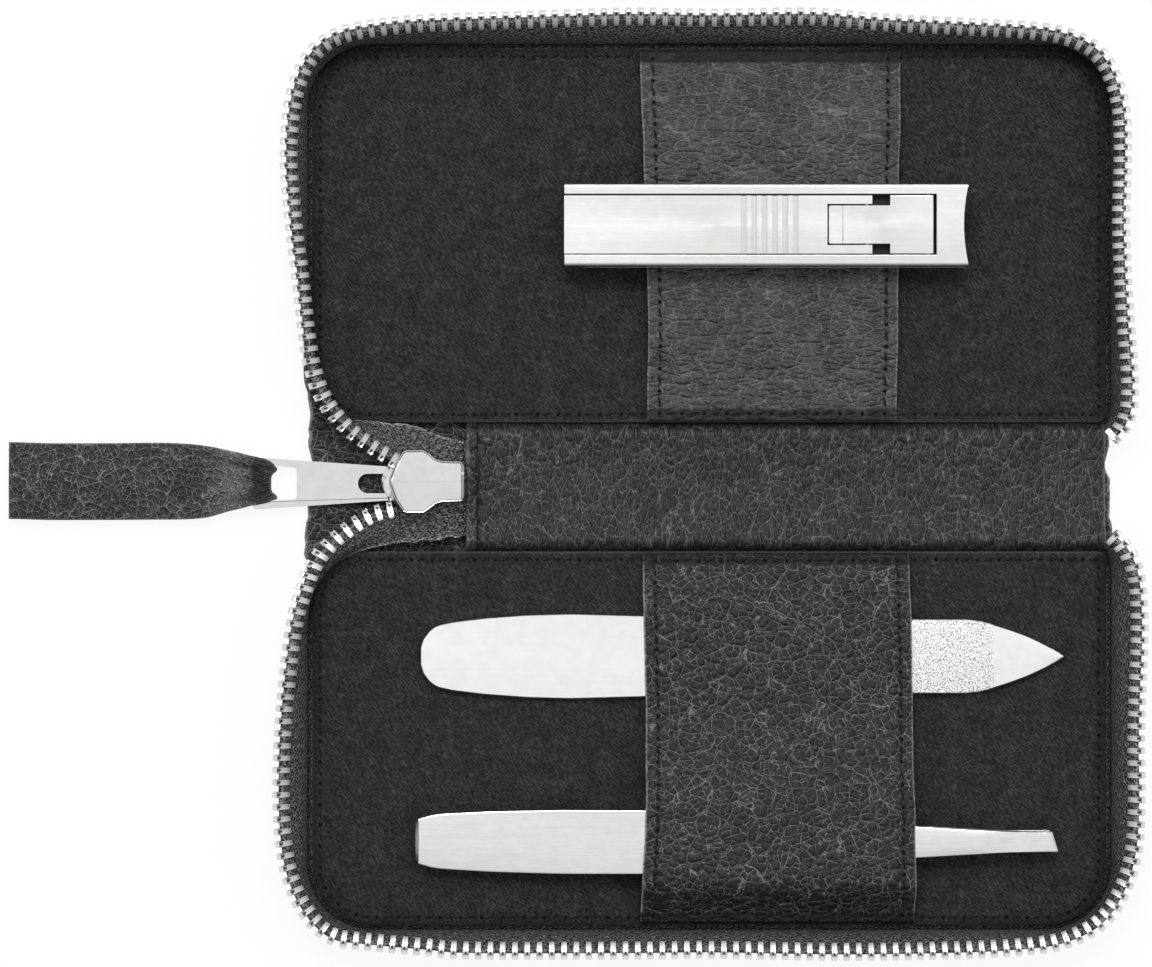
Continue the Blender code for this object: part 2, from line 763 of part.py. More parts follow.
def eased(points):
    """A smooth height line through (y, z) points that are level at each point."""
    line = [points[0]]
    for (y0, z0), (y1, z1) in zip(points, points[1:]):
        steps = STRAP_STEPS if z0 != z1 else 1
        for step in range(1, steps + 1):
            t = step / steps
            line.append((y0 + (y1 - y0) * t, z0 + (z1 - z0) * (3 - 2 * t) * t * t))
    return line


def tool_line(share):
    """The distance from the case's middle line to a tool's middle."""
    return FOLD_Y + PANEL_DEPTH * share


def make_straps():
    """The two holding straps. The lower one runs over the file and the tweezers."""
    rest = SEAT_Z + STRAP_THICKNESS / 2
    inner = FOLD_Y + FOLD_REACH + STRAP_INSET
    outer = PANEL_OUTER - STRAP_INSET
    crest = rest + STRAP_ARCH
    clipper_y = tool_line(CLIPPER_PLACE_SHARE)
    upper = eased(
        (
            (inner, rest),
            (inner + STRAP_LAND / 2, rest),
            (clipper_y - CLIPPER_WIDTH / 4, crest),
            (clipper_y + CLIPPER_WIDTH / 4, crest),
            (outer - STRAP_LAND, rest),
            (outer, rest),
        )
    )
    file_y = tool_line(FILE_PLACE_SHARE)
    file_half = FILE_WIDTH / 2 + STRAP_MARGIN
    over_file = rest + FILE_THICKNESS + SEAT_GAP
    tweezer_y = tool_line(TWEEZER_PLACE_SHARE)
    tweezer_half = TWEEZER_WIDTH / 2 + STRAP_MARGIN
    over_tweezers = rest + tweezer_height() + SEAT_GAP
    sag_y = file_y + file_half + (tweezer_y - tweezer_half - file_y - file_half) * 0.5
    sag_z = over_file + (over_tweezers - over_file) * STRAP_SAG_SHARE
    lower = [(inner, rest), (inner + STRAP_LAND / 4, rest)]
    lower += [(file_y - file_half, over_file), (file_y + file_half, over_file)]
    lower += [(sag_y, sag_z), (tweezer_y - tweezer_half, over_tweezers)]
    lower += [(tweezer_y + tweezer_half, over_tweezers), (outer - STRAP_LAND / 4, rest), (outer, rest)]
    rows = {
        "upper": strap_rows("upper", upper, UPPER_STRAP_EDGE_SHARES),
        "lower": strap_rows("lower", lower, LOWER_STRAP_EDGE_SHARES),
    }
    pieces = {}
    for name, grid in rows.items():
        pieces[f"strap_{name}"] = ribbon(f"strap_{name}", grid, STRAP_THICKNESS, LEATHER)
    return pieces


def make_file():
    """The nail file: a flat blade with a rounded handle end and a pointed tip."""
    left = PANEL_LEFT + PANEL_LENGTH * FILE_LEFT_SHARE
    half = [(share * FILE_LENGTH, wide * FILE_WIDTH) for share, wide in FILE_OUTLINE_SHARES]
    centre = (left, -tool_line(FILE_PLACE_SHARE))
    return plate("nail_file", [mirrored_outline(half)], SEAT_Z, FILE_THICKNESS, STEEL, centre)


def tweezer_height():
    """The height of the two legs at their widest spread."""
    return 2 * (TWEEZER_BOW + TWEEZER_THICKNESS)


def make_tweezers():
    """The two bowed legs of the tweezers, joined at their wide end."""
    left = PANEL_LEFT + PANEL_LENGTH * TWEEZER_LEFT_SHARE
    middle_y = -tool_line(TWEEZER_PLACE_SHARE)
    middle_z = SEAT_Z + tweezer_height() / 2
    joined = SEAT_GAP / 2
    spreads = ((0.0, joined), (0.035, joined), (0.45, TWEEZER_BOW), (1.0, TWEEZER_TIP_GAP / 2))
    pieces = {}
    for name, direction in (("lower", -1.0), ("upper", 1.0)):
        rows = []
        for share, wide in TWEEZER_WIDTH_SHARES:
            rise = lerp_table(spreads, share) + TWEEZER_THICKNESS / 2
            x = left + TWEEZER_LENGTH * share
            slant = TWEEZER_SLANT if share == 1.0 else 0.0
            z = middle_z + direction * rise
            y_low, y_high = middle_y - wide * TWEEZER_WIDTH, middle_y + wide * TWEEZER_WIDTH
            rows.append([(x, y_low, z), (x - slant / 2, middle_y, z), (x - slant, y_high, z)])
        label = f"tweezer_leg_{name}"
        pieces[label] = ribbon(label, rows, TWEEZER_THICKNESS, STEEL)
    return pieces


def clipper_outline(left, middle_y):
    """The clipper's outline from above, with the hollow cutting edge at its right end."""
    right = left + CLIPPER_LENGTH
    half = CLIPPER_WIDTH / 2
    jaw = []
    for step in range(CORNER_STEPS + 1):
        t = 2 * step / CORNER_STEPS - 1
        jaw.append(Vector((right - JAW_HOLLOW * (1 - t * t), middle_y + half * t)))
    return [Vector((left, middle_y - half)), *jaw, Vector((left, middle_y + half))]


def make_clipper():
    """The folding nail clipper: lower leaf, channel-shaped upper leaf, link, lever and their pins."""
    left = PANEL_LEFT + PANEL_LENGTH * CLIPPER_LEFT_SHARE
    middle_y = tool_line(CLIPPER_PLACE_SHARE)
    half = CLIPPER_WIDTH / 2
    leaf_z = SEAT_Z + STRAP_ARCH + STRAP_THICKNESS + SEAT_GAP
    frame_z = leaf_z + LEAF_THICKNESS + LEAF_OPENING
    floor_top = frame_z + FLOOR_THICKNESS
    lever_z = floor_top + SEAT_GAP
    rail_top = lever_z + LEVER_THICKNESS + RAIL_STAND
    pin_z = lever_z + LEVER_THICKNESS / 2
    lever_pin_x = left + CLIPPER_LENGTH * LEVER_PIN_SHARE
    link_pin_x = left + CLIPPER_LENGTH * LINK_PIN_SHARE
    outline = clipper_outline(left, middle_y)

    leaf = meshed(plate("clipper_lower_leaf", [outline], leaf_z, LEAF_THICKNESS, STEEL))
    spacer = block(
        "leaf_block",
        (left, middle_y - half, leaf_z + LEAF_THICKNESS / 2),
        (left + LEAF_BLOCK_LENGTH, middle_y + half, frame_z - SEAT_GAP),
    )
    combine(leaf, spacer, "UNION")

    frame = meshed(plate("clipper_upper_leaf", [outline], frame_z, rail_top - frame_z, STEEL))
    pocket_half = half - RAIL_WIDTH
    pocket_right = link_pin_x + ARM_OVERHANG + POCKET_CLEARANCE
    pocket = block(
        "lever_pocket",
        (left - CUT_OVERRUN, middle_y - pocket_half, floor_top),
        (pocket_right, middle_y + pocket_half, rail_top + CUT_OVERRUN),
    )
    combine(frame, pocket, "DIFFERENCE")
    bore_radius = PIN_RADIUS + PIN_GAP
    pin_reach = 2 * (pocket_half + PIN_SEAT_DEPTH)
    link_axis = (link_pin_x, middle_y, pin_z)
    lever_axis = (lever_pin_x, middle_y, pin_z)
    frame_bore = rod("frame_bore", link_axis, bore_radius, pin_reach + 2 * PIN_GAP)
    combine(frame, frame_bore, "DIFFERENCE")

    plate_half = pocket_half - SIDE_GAP
    tongue_half = TONGUE_WIDTH / 2
    arm_end = lever_pin_x + ARM_OVERHANG
    shoulder = arm_end + WINDOW_LENGTH
    tongue_end = lever_pin_x - TONGUE_REACH
    link_outline = mirrored_outline(
        (
            (tongue_end, 0.0),
            (tongue_end, tongue_half - SIDE_GAP),
            (tongue_end + SIDE_GAP, tongue_half),
            (shoulder, tongue_half),
            (shoulder, plate_half),
            (link_pin_x + ARM_OVERHANG, plate_half),
            (link_pin_x + ARM_OVERHANG, 0.0),
        )
    )
    link = meshed(
        plate("clipper_link", [link_outline], lever_z, LEVER_THICKNESS, STEEL, (0.0, middle_y))
    )
    for label, axis in (("link_bore_front", link_axis), ("link_bore_rear", lever_axis)):
        bore = rod(label, axis, bore_radius, CLIPPER_WIDTH + CUT_OVERRUN)
        combine(link, bore, "DIFFERENCE")

    notch_half = tongue_half + SIDE_GAP
    lever_outline = mirrored_outline(
        (
            (left, 0.0),
            (left, plate_half),
            (arm_end, plate_half),
            (arm_end, notch_half),
            (tongue_end - SIDE_GAP, notch_half),
            (tongue_end - SIDE_GAP, 0.0),
        )
    )
    lever = meshed(
        plate("clipper_lever", [lever_outline], lever_z, LEVER_THICKNESS, STEEL, (0.0, middle_y))
    )
    for index in range(GROOVE_COUNT):
        start = left + CLIPPER_LENGTH * GROOVE_START_SHARE + GROOVE_PITCH * index
        groove = block(
            f"lever_groove_{index}",
            (start, middle_y - half, lever_z + LEVER_THICKNESS - GROOVE_DEPTH),
            (start + GROOVE_WIDTH, middle_y + half, rail_top + CUT_OVERRUN),
        )
        combine(lever, groove, "DIFFERENCE")
    lever_bore = rod("lever_bore", lever_axis, bore_radius, CLIPPER_WIDTH + CUT_OVERRUN)
    combine(lever, lever_bore, "DIFFERENCE")

    link_pin = rod("clipper_link_pin", link_axis, PIN_RADIUS, pin_reach)
    lever_pin = rod("clipper_lever_pin", lever_axis, PIN_RADIUS, 2 * plate_half)

    rear = (left + LEAF_BLOCK_LENGTH / 2, middle_y, frame_z)
    lift_axis = axis_empty("clipper_lift_axis", (left, middle_y, leaf_z))
    jaw_axis = axis_empty("clipper_jaw_axis", rear)
    link_empty = axis_empty("clipper_link_axis", link_axis)
    lever_empty = axis_empty("clipper_lever_axis", lever_axis)
    carry(lever_empty, lever)
    carry(link_empty, link, lever_pin, lever_empty)
    carry(jaw_axis, frame, link_pin, link_empty)
    carry(lift_axis, leaf, jaw_axis)
    return lift_axis


def build():
    """Makes every piece and hangs the moving ones on their joint axes."""
    cover = make_cover()
    panels = make_panels()
    rims = make_rims()
    strands = make_strands()
    tape_end = make_tape_end()
    slider = make_slider()
    tab = make_pull()
    tag = make_tag()
    straps = make_straps()
    make_file()
    tweezers = make_tweezers()
    clipper = make_clipper()

    base_fold = axis_empty("base_fold_axis", (0.0, -FOLD_Y, HINGE_Z))
    lid_fold = axis_empty("lid_fold_axis", (0.0, FOLD_Y, HINGE_Z))
    slider_run = axis_empty("slider_run_axis", (SLIDER_TAIL_X, SLIDER_OFFSET, STRAND_Z))
    pull_swing = axis_empty("pull_swing_axis", (PULL_PIVOT_X, PULL_OFFSET, PULL_PIVOT_Z))
    tag_swing = axis_empty("strap_swing_axis", (EYE_X, PULL_OFFSET, EYE_Z))
    left = PANEL_LEFT + PANEL_LENGTH * TWEEZER_LEFT_SHARE
    middle_z = SEAT_Z + tweezer_height() / 2
    place = (left + TWEEZER_PIVOT, -tool_line(TWEEZER_PLACE_SHARE), middle_z)
    squeeze = axis_empty("tweezer_squeeze_axis", place)
    carry(squeeze, tweezers["tweezer_leg_upper"])
    carry(tweezers["tweezer_leg_lower"], squeeze)
    carry(tag_swing, tag)
    carry(pull_swing, tab, tag_swing)
    carry(slider_run, slider, pull_swing)
    carry(
        lid_fold,
        cover["upper"],
        panels["board_upper"],
        panels["lining_upper"],
        rims["zip_tape_upper"],
        rims["zip_teeth_upper"],
        rims["zip_stop_upper"],
        strands["zip_strand_upper"],
        straps["strap_upper"],
        clipper,
    )
    spine_pieces = (cover["spine"], panels["spine_backing"], panels["spine_lining"], tape_end)
    carry(base_fold, *spine_pieces, slider_run, lid_fold)
    for obj in PARTS.objects:
        if obj.type == "MESH":
            obj.data.shade_smooth()
            obj.data.set_sharp_from_angle(angle=math.radians(30))


clear_scene()
PARTS = make_collection("manicure_set_case")
CUTTERS = make_collection("cutters")
build()
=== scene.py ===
"""Looks of the open manicure set case, dressed over its CAD frame.

Everything is in metres, in the frame of the CAD model: the spine lies along X, the lower half on the -Y
side, the upper half on the +Y side, and the case rests on z = 0.
"""

import logging
import math
from dataclasses import dataclass, field
from enum import Enum
from typing import Callable, Iterable, Sequence

import bmesh
import bpy
import numpy as np
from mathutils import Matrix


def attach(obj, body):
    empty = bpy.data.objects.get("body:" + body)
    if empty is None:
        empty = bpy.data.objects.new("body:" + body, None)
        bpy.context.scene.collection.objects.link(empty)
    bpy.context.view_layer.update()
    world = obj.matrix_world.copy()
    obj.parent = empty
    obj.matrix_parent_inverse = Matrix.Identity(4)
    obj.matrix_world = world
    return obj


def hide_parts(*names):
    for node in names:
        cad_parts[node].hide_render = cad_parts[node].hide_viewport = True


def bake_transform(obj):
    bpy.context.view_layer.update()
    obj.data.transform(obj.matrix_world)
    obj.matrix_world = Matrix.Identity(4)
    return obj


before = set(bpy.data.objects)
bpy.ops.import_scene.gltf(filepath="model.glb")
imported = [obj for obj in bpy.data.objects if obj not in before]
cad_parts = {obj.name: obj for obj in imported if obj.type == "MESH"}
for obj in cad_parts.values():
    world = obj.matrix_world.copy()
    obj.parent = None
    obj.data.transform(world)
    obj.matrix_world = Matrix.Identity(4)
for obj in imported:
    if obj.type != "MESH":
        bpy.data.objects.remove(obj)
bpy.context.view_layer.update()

Array = np.ndarray
LOG = logging.getLogger("manicure_case")

BEND_NEAR = 0.006
BEND_FAR = 0.0135
MM = 0.001
LATTICE = 64
WELD = 2e-7
CAD_WELD = 2e-6
STITCH_PITCH = 0.0031
STITCH_TURN = 0.22
THREAD_RADIUS = 0.00017
THREAD_RISE = 0.00004
THREAD_SAG = 0.00016
HOLE_RADIUS = 0.0003
PLATE_FLAT_ANGLE = math.radians(2)
PLATE_SHARP_ANGLE = math.radians(30)
ROUNDED_ANGLE = math.radians(32)
RAIL_LENGTH = 0.003


class Half(Enum):
    """The two halves of the case."""

    UPPER = "upper"
    LOWER = "lower"

    @property
    def side(self) -> float:
        """The sign of Y on this half."""
        return 1.0 if self is Half.UPPER else -1.0

    @property
    def body(self) -> str:
        """The CAD body of this half."""
        return f"{self.value}_half"

    def bend(self, piece: bpy.types.Object, near: float = BEND_NEAR, far: float = BEND_FAR) -> None:
        """Bakes a piece's transform into its mesh.

        Args:
            piece: The piece, with its mesh final.
            near: Not used.
            far: Not used.
        """
        if self is Half.UPPER:
            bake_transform(piece)
        else:
            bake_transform(piece)


# Numbers and curves


def ease(value: Array) -> Array:
    """The smooth step 3t^2 - 2t^3 of values held between 0 and 1."""
    t = np.clip(value, 0.0, 1.0)
    return t * t * (3.0 - 2.0 * t)


def soft_noise(x: Array, y: Array, cell: float, seed: int) -> Array:
    """Smooth noise from -1 to 1: random values on a square lattice, blended with the smooth step.

    Args:
        x: First coordinate of each point.
        y: Second coordinate of each point.
        cell: Size of a lattice cell.
        seed: Seed of the lattice values.

    Returns:
        The noise at each point.
    """
    lattice = np.random.default_rng(seed).uniform(-1.0, 1.0, (LATTICE, LATTICE))
    gx, gy = x / cell, y / cell
    ix, iy = np.floor(gx).astype(int), np.floor(gy).astype(int)
    fx, fy = ease(gx - ix), ease(gy - iy)
    ix, iy, jx, jy = (index % LATTICE for index in (ix, iy, ix + 1, iy + 1))
    a, b, c, d = lattice[ix, iy], lattice[jx, iy], lattice[ix, jy], lattice[jx, jy]
    return (a * (1 - fx) + b * fx) * (1 - fy) + (c * (1 - fx) + d * fx) * fy


def fine_at_ends(length: float, step: float, edge: float) -> Array:
    """Distances along a length: evenly spaced, with extra ones near both ends where an edge is rounded.

    Args:
        length: The whole length.
        step: Spacing of the even part.
        edge: Reach of the rounded edge at both ends.

    Returns:
        The distances, from 0 to the length.
    """
    near = edge * np.array((0.0, 0.06, 0.2, 0.42, 0.7))
    count = max(2, int(round((length - 2 * edge) / step)) + 1)
    middle = np.linspace(edge, length - edge, count)
    return np.concatenate((near, middle, (length - near)[::-1]))


def through(stops: Sequence[tuple[float, ...]], count: int) -> Array:
    """Points of a Catmull-Rom curve through stops, with the same number of steps between each two.

    Args:
        stops: The points that the curve goes through.
        count: Steps between two stops.

    Returns:
        The points, one row each.
    """
    p = np.array(stops, float)
    p = np.concatenate((2 * p[:1] - p[1:2], p, 2 * p[-1:] - p[-2:-1]))
    t = np.linspace(0.0, 1.0, count, endpoint=False)[:, None]
    a, b, c, d = (p[k : len(p) - 3 + k, None, :] for k in range(4))
    curve = 0.5 * (
        2 * b + (c - a) * t + (2 * a - 5 * b + 4 * c - d) * t**2 + (3 * b - a - 3 * c + d) * t**3
    )
    return np.concatenate((curve.reshape(-1, p.shape[1]), p[-2:-1]))


def arc_lengths(points: Array) -> Array:
    """The distance along a line of points, at each point."""
    steps = np.linalg.norm(np.diff(points, axis=0), axis=1)
    return np.concatenate(([0.0], np.cumsum(steps)))


def resampled(points: Array, places: Array) -> Array:
    """The points at given distances along a line of points."""
    run = arc_lengths(points)
    return np.stack([np.interp(places, run, points[:, k]) for k in range(points.shape[1])], axis=1)


def unit(vectors: Array) -> Array:
    """The same vectors with length 1."""
    return vectors / np.maximum(np.linalg.norm(vectors, axis=-1, keepdims=True), 1e-12)


def averaged(values: Array, reach: int) -> Array:
    """A running mean over a bell-shaped window that reaches so many values to both sides."""
    window = np.hanning(2 * reach + 1)
    return np.convolve(np.pad(values, reach, mode="edge"), window / window.sum(), mode="valid")


def rounded_edge(distance: Array, reach: float, thickness: float) -> Array:
    """The thickness of a ply near its edge, as a quarter ellipse over the reach of the rounding."""
    t = 1.0 - np.clip(distance / reach, 0.0, 1.0)
    return thickness * np.sqrt(np.maximum(1.0 - t * t, 0.0))


def bell(value: Array, centre: float, width: float) -> Array:
    """The bell curve exp(-((value - centre) / width)^2)."""
    return np.exp(-(((value - centre) / width) ** 2))


def stacked(*parts: Array) -> Array:
    """Arrays brought to one shape and laid side by side along a new last axis."""
    return np.stack(np.broadcast_arrays(*parts), axis=-1)


# Meshes


def placed(name: str, data: bpy.types.ID) -> bpy.types.Object:
    """A new object in the scene."""
    made = bpy.data.objects.new(name, data)
    bpy.context.scene.collection.objects.link(made)
    return made


@dataclass
class Draft:
    """A mesh being put together.

    Attributes:
        points: One row of x, y, z for each point.
        quads: Four point indices for each face.
        uv: The place of each face corner on the flat piece, in millimetres.
        marks: Named values for each point, which materials read.
        finish_of: Which of the piece's finishes each face has.
    """

    points: Array
    quads: Array
    uv: Array
    marks: dict[str, Array] = field(default_factory=dict)
    finish_of: Array | None = None

    def finished(self, index: int) -> "Draft":
        """The same draft with one finish on all its faces."""
        self.finish_of = np.full(len(self.quads), index)
        return self

    def build(self, name: str, *finishes: "Finish", sharp: float = 50.0) -> bpy.types.Object:
        """Makes the draft an object, with closed seams and poles and its faces pointing outwards.

        Args:
            name: Name of the piece.
            finishes: Finishes in the order of the face indices.
            sharp: Angle in degrees above which an edge isn't smoothed.

        Returns:
            The new object.
        """
        mesh = bpy.data.meshes.new(name)
        mesh.from_pydata(self.points.tolist(), [], self.quads.tolist())
        layer = mesh.uv_layers.new(name="flat")
        layer.data.foreach_set("uv", self.uv.astype(np.float32).ravel())
        for label, values in self.marks.items():
            mark = mesh.attributes.new(label, "FLOAT", "POINT")
            mark.data.foreach_set("value", values.astype(np.float32).ravel())
        if self.finish_of is not None:
            mesh.polygons.foreach_set("material_index", self.finish_of.astype(np.int32))
        work = bmesh.new()
        work.from_mesh(mesh)
        bmesh.ops.remove_doubles(work, verts=work.verts, dist=WELD)
        bmesh.ops.recalc_face_normals(work, faces=work.faces)
        work.to_mesh(mesh)
        work.free()
        mesh.shade_smooth()
        mesh.set_sharp_from_angle(angle=math.radians(sharp))
        for finish in finishes:
            mesh.materials.append(finish.material())
        return placed(name, mesh)


def joined(drafts: Iterable[Draft]) -> Draft:
    """Several drafts as one."""
    parts = list(drafts)
    offsets = np.cumsum([0] + [len(part.points) for part in parts])
    labels = {label for part in parts for label in part.marks}
    marks = {
        label: np.concatenate([part.marks.get(label, np.zeros(len(part.points))).ravel() for part in parts])
        for label in labels
    }
    finish_of = [np.zeros(len(p.quads)) if p.finish_of is None else p.finish_of for p in parts]
    return Draft(
        np.concatenate([part.points for part in parts]),
        np.concatenate([part.quads + offset for part, offset in zip(parts, offsets)]),
        np.concatenate([part.uv for part in parts]),
        marks,
        np.concatenate(finish_of),
    )


def grid(points: Array, uv: Array, wrap: bool = False, **marks: Array) -> Draft:
    """A surface over a grid of points, P(row, column).

    Args:
        points: The grid, rows by columns by 3.
        uv: Flat places in metres of the grid, with one more column where it wraps.
        wrap: Whether the last column joins the first one.
        marks: Values of the grid's points.

    Returns:
        The surface.
    """
    rows, cols = points.shape[:2]
    wide = cols + int(wrap)
    r, c = (a.ravel() for a in np.meshgrid(np.arange(rows - 1), np.arange(wide - 1), indexing="ij"))
    corner_rows = np.stack((r, r, r + 1, r + 1), axis=1)
    corner_cols = np.stack((c, c + 1, c + 1, c), axis=1)
    quads = corner_rows * cols + corner_cols % cols
    flat = uv.reshape(-1, 2)[corner_rows * wide + corner_cols] / MM
    return Draft(points.reshape(-1, 3), quads, flat, {k: v.ravel() for k, v in marks.items()})


def tube(rings: Array, **marks: Array) -> Draft:
    """A closed skin over rings of points, with each end ring filled by strips between its two sides.

    Args:
        rings: Rows of closed rings with an even number of points each.
        marks: Values of the points.

    Returns:
        The closed surface.
    """
    rows, cols = rings.shape[:2]
    around = np.linalg.norm(np.diff(np.concatenate((rings, rings[:, :1]), axis=1), axis=1), axis=2)
    across = np.concatenate((np.zeros((rows, 1)), np.cumsum(around, axis=1)), axis=1)
    uv = stacked(arc_lengths(rings.mean(axis=1))[:, None], across)
    skin = grid(rings, uv, wrap=True, **marks)
    k = np.arange(cols // 2 - 1)
    strip = np.stack((k, k + 1, cols - 2 - k, cols - 1 - k), axis=1)
    last = strip[:, ::-1] + (rows - 1) * cols
    ends = np.concatenate((strip, last))
    skin.quads = np.concatenate((skin.quads, ends))
    skin.uv = np.concatenate((skin.uv, skin.points[ends][..., :2] / MM))
    return skin


def slab(middle: Array, thickness: Array, uv: Array, **marks: Array) -> Draft:
    """A ply of a given thickness about its middle surface: the two faces are P +- n t / 2.

    Args:
        middle: The middle surface, rows by columns by 3.
        thickness: Thickness at each point, which runs out to nothing at a rounded edge.
        uv: Flat places in metres of the grid.
        marks: Values of the grid's points.

    Returns:
        The closed ply.
    """
    along, across = np.gradient(middle, axis=0), np.gradient(middle, axis=1)
    normal = unit(np.cross(along, across))
    lift = normal * thickness[..., None] / 2
    faces = [grid(middle + lift * side, uv, **marks) for side in (1.0, -1.0)]
    faces[1].quads = faces[1].quads[:, ::-1]
    faces[1].uv = faces[1].uv[:, ::-1]
    rows, cols = middle.shape[:2]
    index = np.arange(rows * cols).reshape(rows, cols)
    rim = np.concatenate((index[0, :-1], index[:-1, -1], index[-1, :0:-1], index[:0:-1, 0]))
    after = np.roll(rim, -1)
    size = rows * cols
    wall = np.stack((rim, after, after + size, rim + size), axis=1)
    places = uv.reshape(-1, 2) / MM
    draft = joined(faces)
    draft.quads = np.concatenate((draft.quads, wall))
    draft.uv = np.concatenate((draft.uv, places[wall % size]))
    draft.finish_of = None
    return draft


@dataclass(frozen=True)
class RoundedPanel:
    """A flat outline: a rectangle with its own radius at each corner.

    Attributes:
        left: Lowest X.
        right: Highest X.
        low: Lowest distance from the middle line.
        high: Highest distance from the middle line.
        radii: Radii of the corners low left, low right, high left, high right.
    """

    left: float
    right: float
    low: float
    high: float
    radii: tuple[float, float, float, float]

    def span(self, y: Array) -> tuple[Array, Array]:
        """The X of the left and right edge at each y, with each corner a quarter circle."""
        ends = []
        for low_radius, high_radius in (self.radii[::2], self.radii[1::2]):
            inset = np.zeros_like(y)
            for radius, depth in ((low_radius, y - self.low), (high_radius, self.high - y)):
                drop = np.clip(radius - depth, 0.0, radius)
                inset += radius - np.sqrt(np.maximum(radius**2 - drop**2, 0.0))
            ends.append(inset)
        return self.left + ends[0], self.right - ends[1]

    def inside(self, x: Array, y: Array) -> Array:
        """The distance of each point from the outline, inwards."""
        cx, cy = (self.left + self.right) / 2, (self.low + self.high) / 2
        right, high = x > cx, y > cy
        radius = np.choose(right + 2 * high, self.radii)
        qx = np.abs(x - cx) - (self.right - self.left) / 2 + radius
        qy = np.abs(y - cy) - (self.high - self.low) / 2 + radius
        outside = np.hypot(np.maximum(qx, 0.0), np.maximum(qy, 0.0))
        return radius - outside - np.minimum(np.maximum(qx, qy), 0.0)

    def grid(self, step: float, edge: float) -> tuple[Array, Array]:
        """X and Y of a grid that fills the outline, finer near its edges.

        Args:
            step: Spacing of the grid.
            edge: Reach of the rounded edge.

        Returns:
            X and Y, rows by columns.
        """
        y = self.low + fine_at_ends(self.high - self.low, step, edge)
        places = fine_at_ends(self.right - self.left, step, edge) / (self.right - self.left)
        left, right = self.span(y)
        x = left[:, None] + (right - left)[:, None] * places[None, :]
        return x, np.broadcast_to(y[:, None], x.shape).copy()


def stitches(path: Array, lift: Callable[[Array, Array], Array], long: float) -> Draft:
    """A row of thread stitches: short spindles, r(t) = r0 sqrt(1 - t^4), each turned a little off the seam.

    A small dark disc, painted shade of a needle hole, lies between each two.

    Args:
        path: The seam line, points of x and y.
        lift: Gives the height of the surface at x, y.
        long: Length of one stitch.

    Returns:
        The stitches.
    """
    run = arc_lengths(path)[-1]
    count = max(1, int(run / STITCH_PITCH))
    places = (np.arange(count) + 0.5) * run / count
    centre = resampled(path, places)
    ahead = unit(resampled(path, places + 1e-4) - resampled(path, places - 1e-4))
    c, s = math.cos(STITCH_TURN), math.sin(STITCH_TURN)
    along = np.stack((c * ahead[:, 0] - s * ahead[:, 1], s * ahead[:, 0] + c * ahead[:, 1]), axis=1)
    t = np.array((-1.0, -0.8, 0.0, 0.8, 1.0))
    radius = THREAD_RADIUS * np.sqrt(1.0 - t**4)
    spots = centre[:, None] + along[:, None] * (t * long / 2)[None, :, None]
    height = lift(spots[..., 0], spots[..., 1]) + THREAD_RISE - THREAD_SAG * t**2
    angle = np.arange(6) * math.pi / 3
    side = np.stack((-along[:, 1], along[:, 0]), axis=1)
    ring_side = (radius[:, None] * np.cos(angle))[None, :, :, None] * side[:, None, None, :]
    flat = spots[:, :, None, :] + ring_side
    z = height[:, :, None] + radius[None, :, None] * np.sin(angle)[None, None, :]
    rings = np.concatenate((flat, z[..., None]), axis=3)
    thread = [tube(ring) for ring in rings]
    gaps = resampled(path, np.arange(count + 1) * run / count)
    turn = np.arange(8) * math.pi / 4
    rim = np.stack((np.cos(turn), np.sin(turn)), axis=1)
    size = np.array((1.0, 1.0, 0.7))[:, None, None] * HOLE_RADIUS
    level = np.array((-0.0001, 0.00006, 0.00008))[:, None]
    # Dark discs marked with shade: painted shade of the needle holes.
    holes = []
    for x, y in gaps:
        flat = np.array((x, y)) + rim * size
        rise = lift(flat[..., 0], flat[..., 1]) + level
        holes.append(tube(np.concatenate((flat, rise[..., None]), axis=2), shade=np.ones((3, 8))))
    return joined(thread + holes)


# Finishes

Tone = tuple[float, float, float, float]
WHITE: Tone = (1.0, 1.0, 1.0, 1.0)
FLOOR_TONE: Tone = (0.86, 0.86, 0.86, 1.0)
CREASE_TONE: Tone = (0.3, 0.3, 0.3, 1.0)
WORN_LEATHER_TONE: Tone = (0.45, 0.45, 0.45, 1.0)
WORN_SUEDE_TONE: Tone = (0.1, 0.1, 0.1, 1.0)
FRAYED_TAPE_TONE: Tone = (0.42, 0.42, 0.41, 1.0)
# Near black, for the painted shadow in the tape's gutter and under the spine's hem.
TAPE_GUTTER_SHADOW_TONE: Tone = (0.002, 0.002, 0.002, 1.0)


